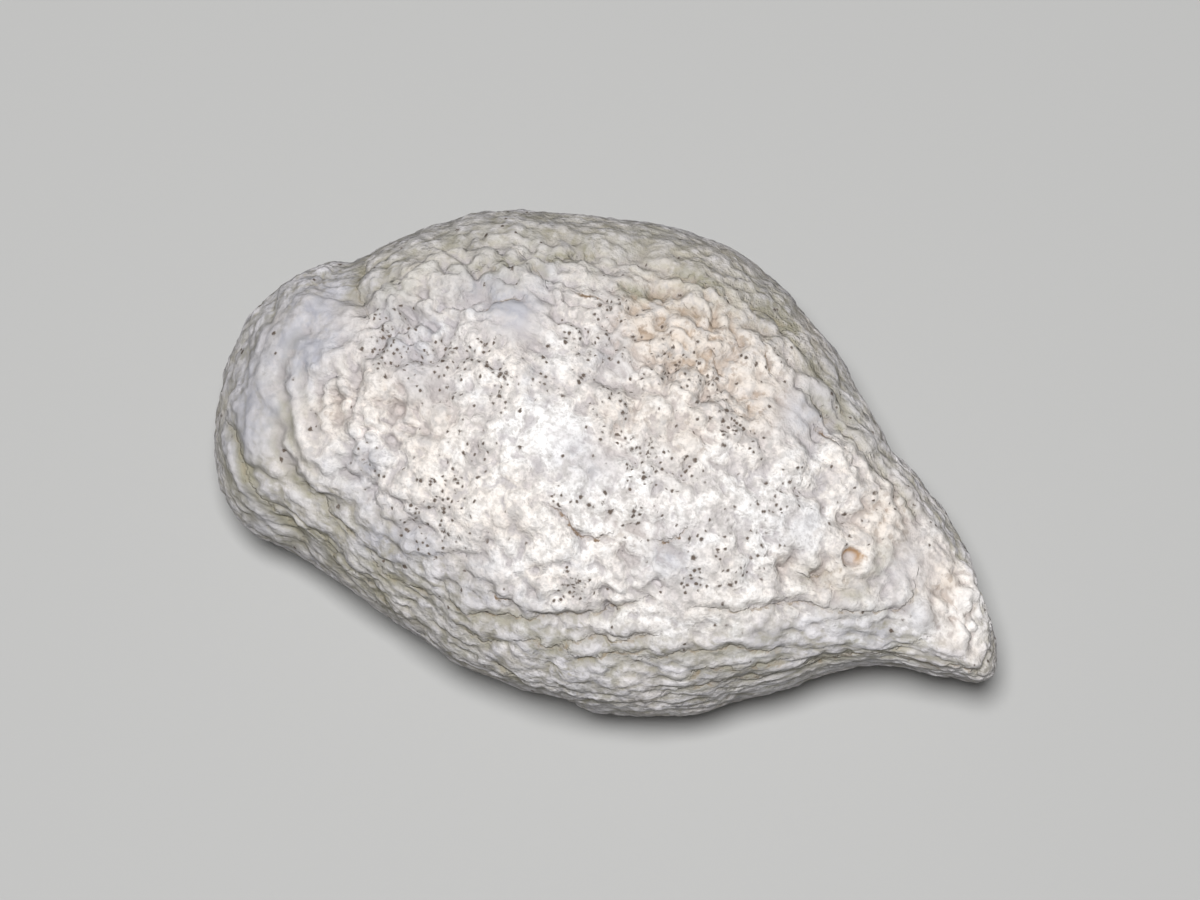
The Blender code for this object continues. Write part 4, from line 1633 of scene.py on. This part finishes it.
@dataclass(frozen=True)
class Studio:
    """Pale floor, soft lights and the camera, placed about the stone. Lengths are in metres."""

    plane: DrawingPlane = DrawingPlane()
    aim_right: float = 0.0007
    aim_up: float = 0.00124
    lens: float = 140.0
    clip_start: float = 0.01
    floor_size: float = 3.0
    floor_colour: Colour = colour(178, 178, 177)
    floor_roughness: float = 0.9
    key_power: float = 3.7
    key_size: float = 0.12
    light_distance: float = 0.55
    key_rise: float = math.radians(7.0)
    key_swing: float = math.radians(-2.0)
    fill_power: float = 0.05
    fill_size: float = 0.5
    surround: float = 0.048

    def aim(self) -> Vector:
        """Point that the camera looks at, on the outline's level."""
        right, up, _ = self.plane.axes()
        return Vector(np.array(self.plane.heart) * MILLIMETRE + right * self.aim_right + up * self.aim_up)

    def floor(self) -> None:
        """Lay the floor at the resting surface."""
        half = self.floor_size / 2
        mesh = bpy.data.meshes.new("floor")
        corners = [(-half, -half, 0.0), (half, -half, 0.0), (half, half, 0.0), (-half, half, 0.0)]
        mesh.from_pydata(corners, [], [(0, 1, 2, 3)])
        sketch = NodeSketch("pale floor")
        sketch.shader.inputs["Base Color"].default_value = self.floor_colour
        sketch.shader.inputs["Roughness"].default_value = self.floor_roughness
        mesh.materials.append(sketch.material)
        floor = bpy.data.objects.new("floor", mesh)
        bpy.context.scene.collection.objects.link(floor)

    def light(self, name: str, power: float, size: float, rise: float, swing: float) -> None:
        """Hang an area light that faces the stone.

        Args:
            name: the light's name.
            power: in watts.
            size: width of the light.
            rise: angle from the camera's line towards the picture's top.
            swing: angle from the camera's line towards the picture's right.
        """
        right, up, outward = self.plane.axes()
        direction = outward + math.tan(rise) * up + math.tan(swing) * right
        direction /= np.linalg.norm(direction)
        lamp = bpy.data.lights.new(name, "AREA")
        lamp.shape = "DISK"
        lamp.size = size
        lamp.energy = power
        holder = bpy.data.objects.new(name, lamp)
        holder.location = self.aim() + Vector(direction) * self.light_distance
        holder.rotation_euler = Vector(-direction).to_track_quat("-Z", "Y").to_euler()
        bpy.context.scene.collection.objects.link(holder)

    def camera(self) -> None:
        """Set the camera on the drawing plane's outward line."""
        _, _, outward = self.plane.axes()
        data = bpy.data.cameras.new("camera")
        data.lens = self.lens
        data.clip_start = self.clip_start
        holder = bpy.data.objects.new("camera", data)
        holder.location = self.aim() + Vector(outward) * self.plane.distance * MILLIMETRE
        holder.rotation_euler = Vector(-outward).to_track_quat("-Z", "Y").to_euler()
        bpy.context.scene.collection.objects.link(holder)
        bpy.context.scene.camera = holder

    def build(self) -> None:
        """Set up the floor, lights, surround and camera."""
        scene = bpy.context.scene
        self.floor()
        self.light("key", self.key_power, self.key_size, self.key_rise, self.key_swing)
        self.light("fill", self.fill_power, self.fill_size, -self.key_rise, -self.key_swing)
        world = bpy.data.worlds.new("surround")
        world.use_nodes = True
        background = world.node_tree.nodes["Background"]
        background.inputs["Color"].default_value = (1.0, 1.0, 1.0, 1.0)
        background.inputs["Strength"].default_value = self.surround
        scene.world = world
        scene.view_settings.view_transform = "Standard"
        self.camera()
        log.info("studio: floor, two lights and the camera")


def main() -> None:
    """Load the frame, build the stone to its solid's length, and build the studio."""
    logging.basicConfig(level=logging.INFO, format="%(name)s: %(message)s")
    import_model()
    low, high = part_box(NODE)
    form = StoneForm(length=(high[0] - low[0]) / MILLIMETRE)
    Stone(Crust(form)).build()
    Studio().build()


if __name__ == "__main__":
    main()
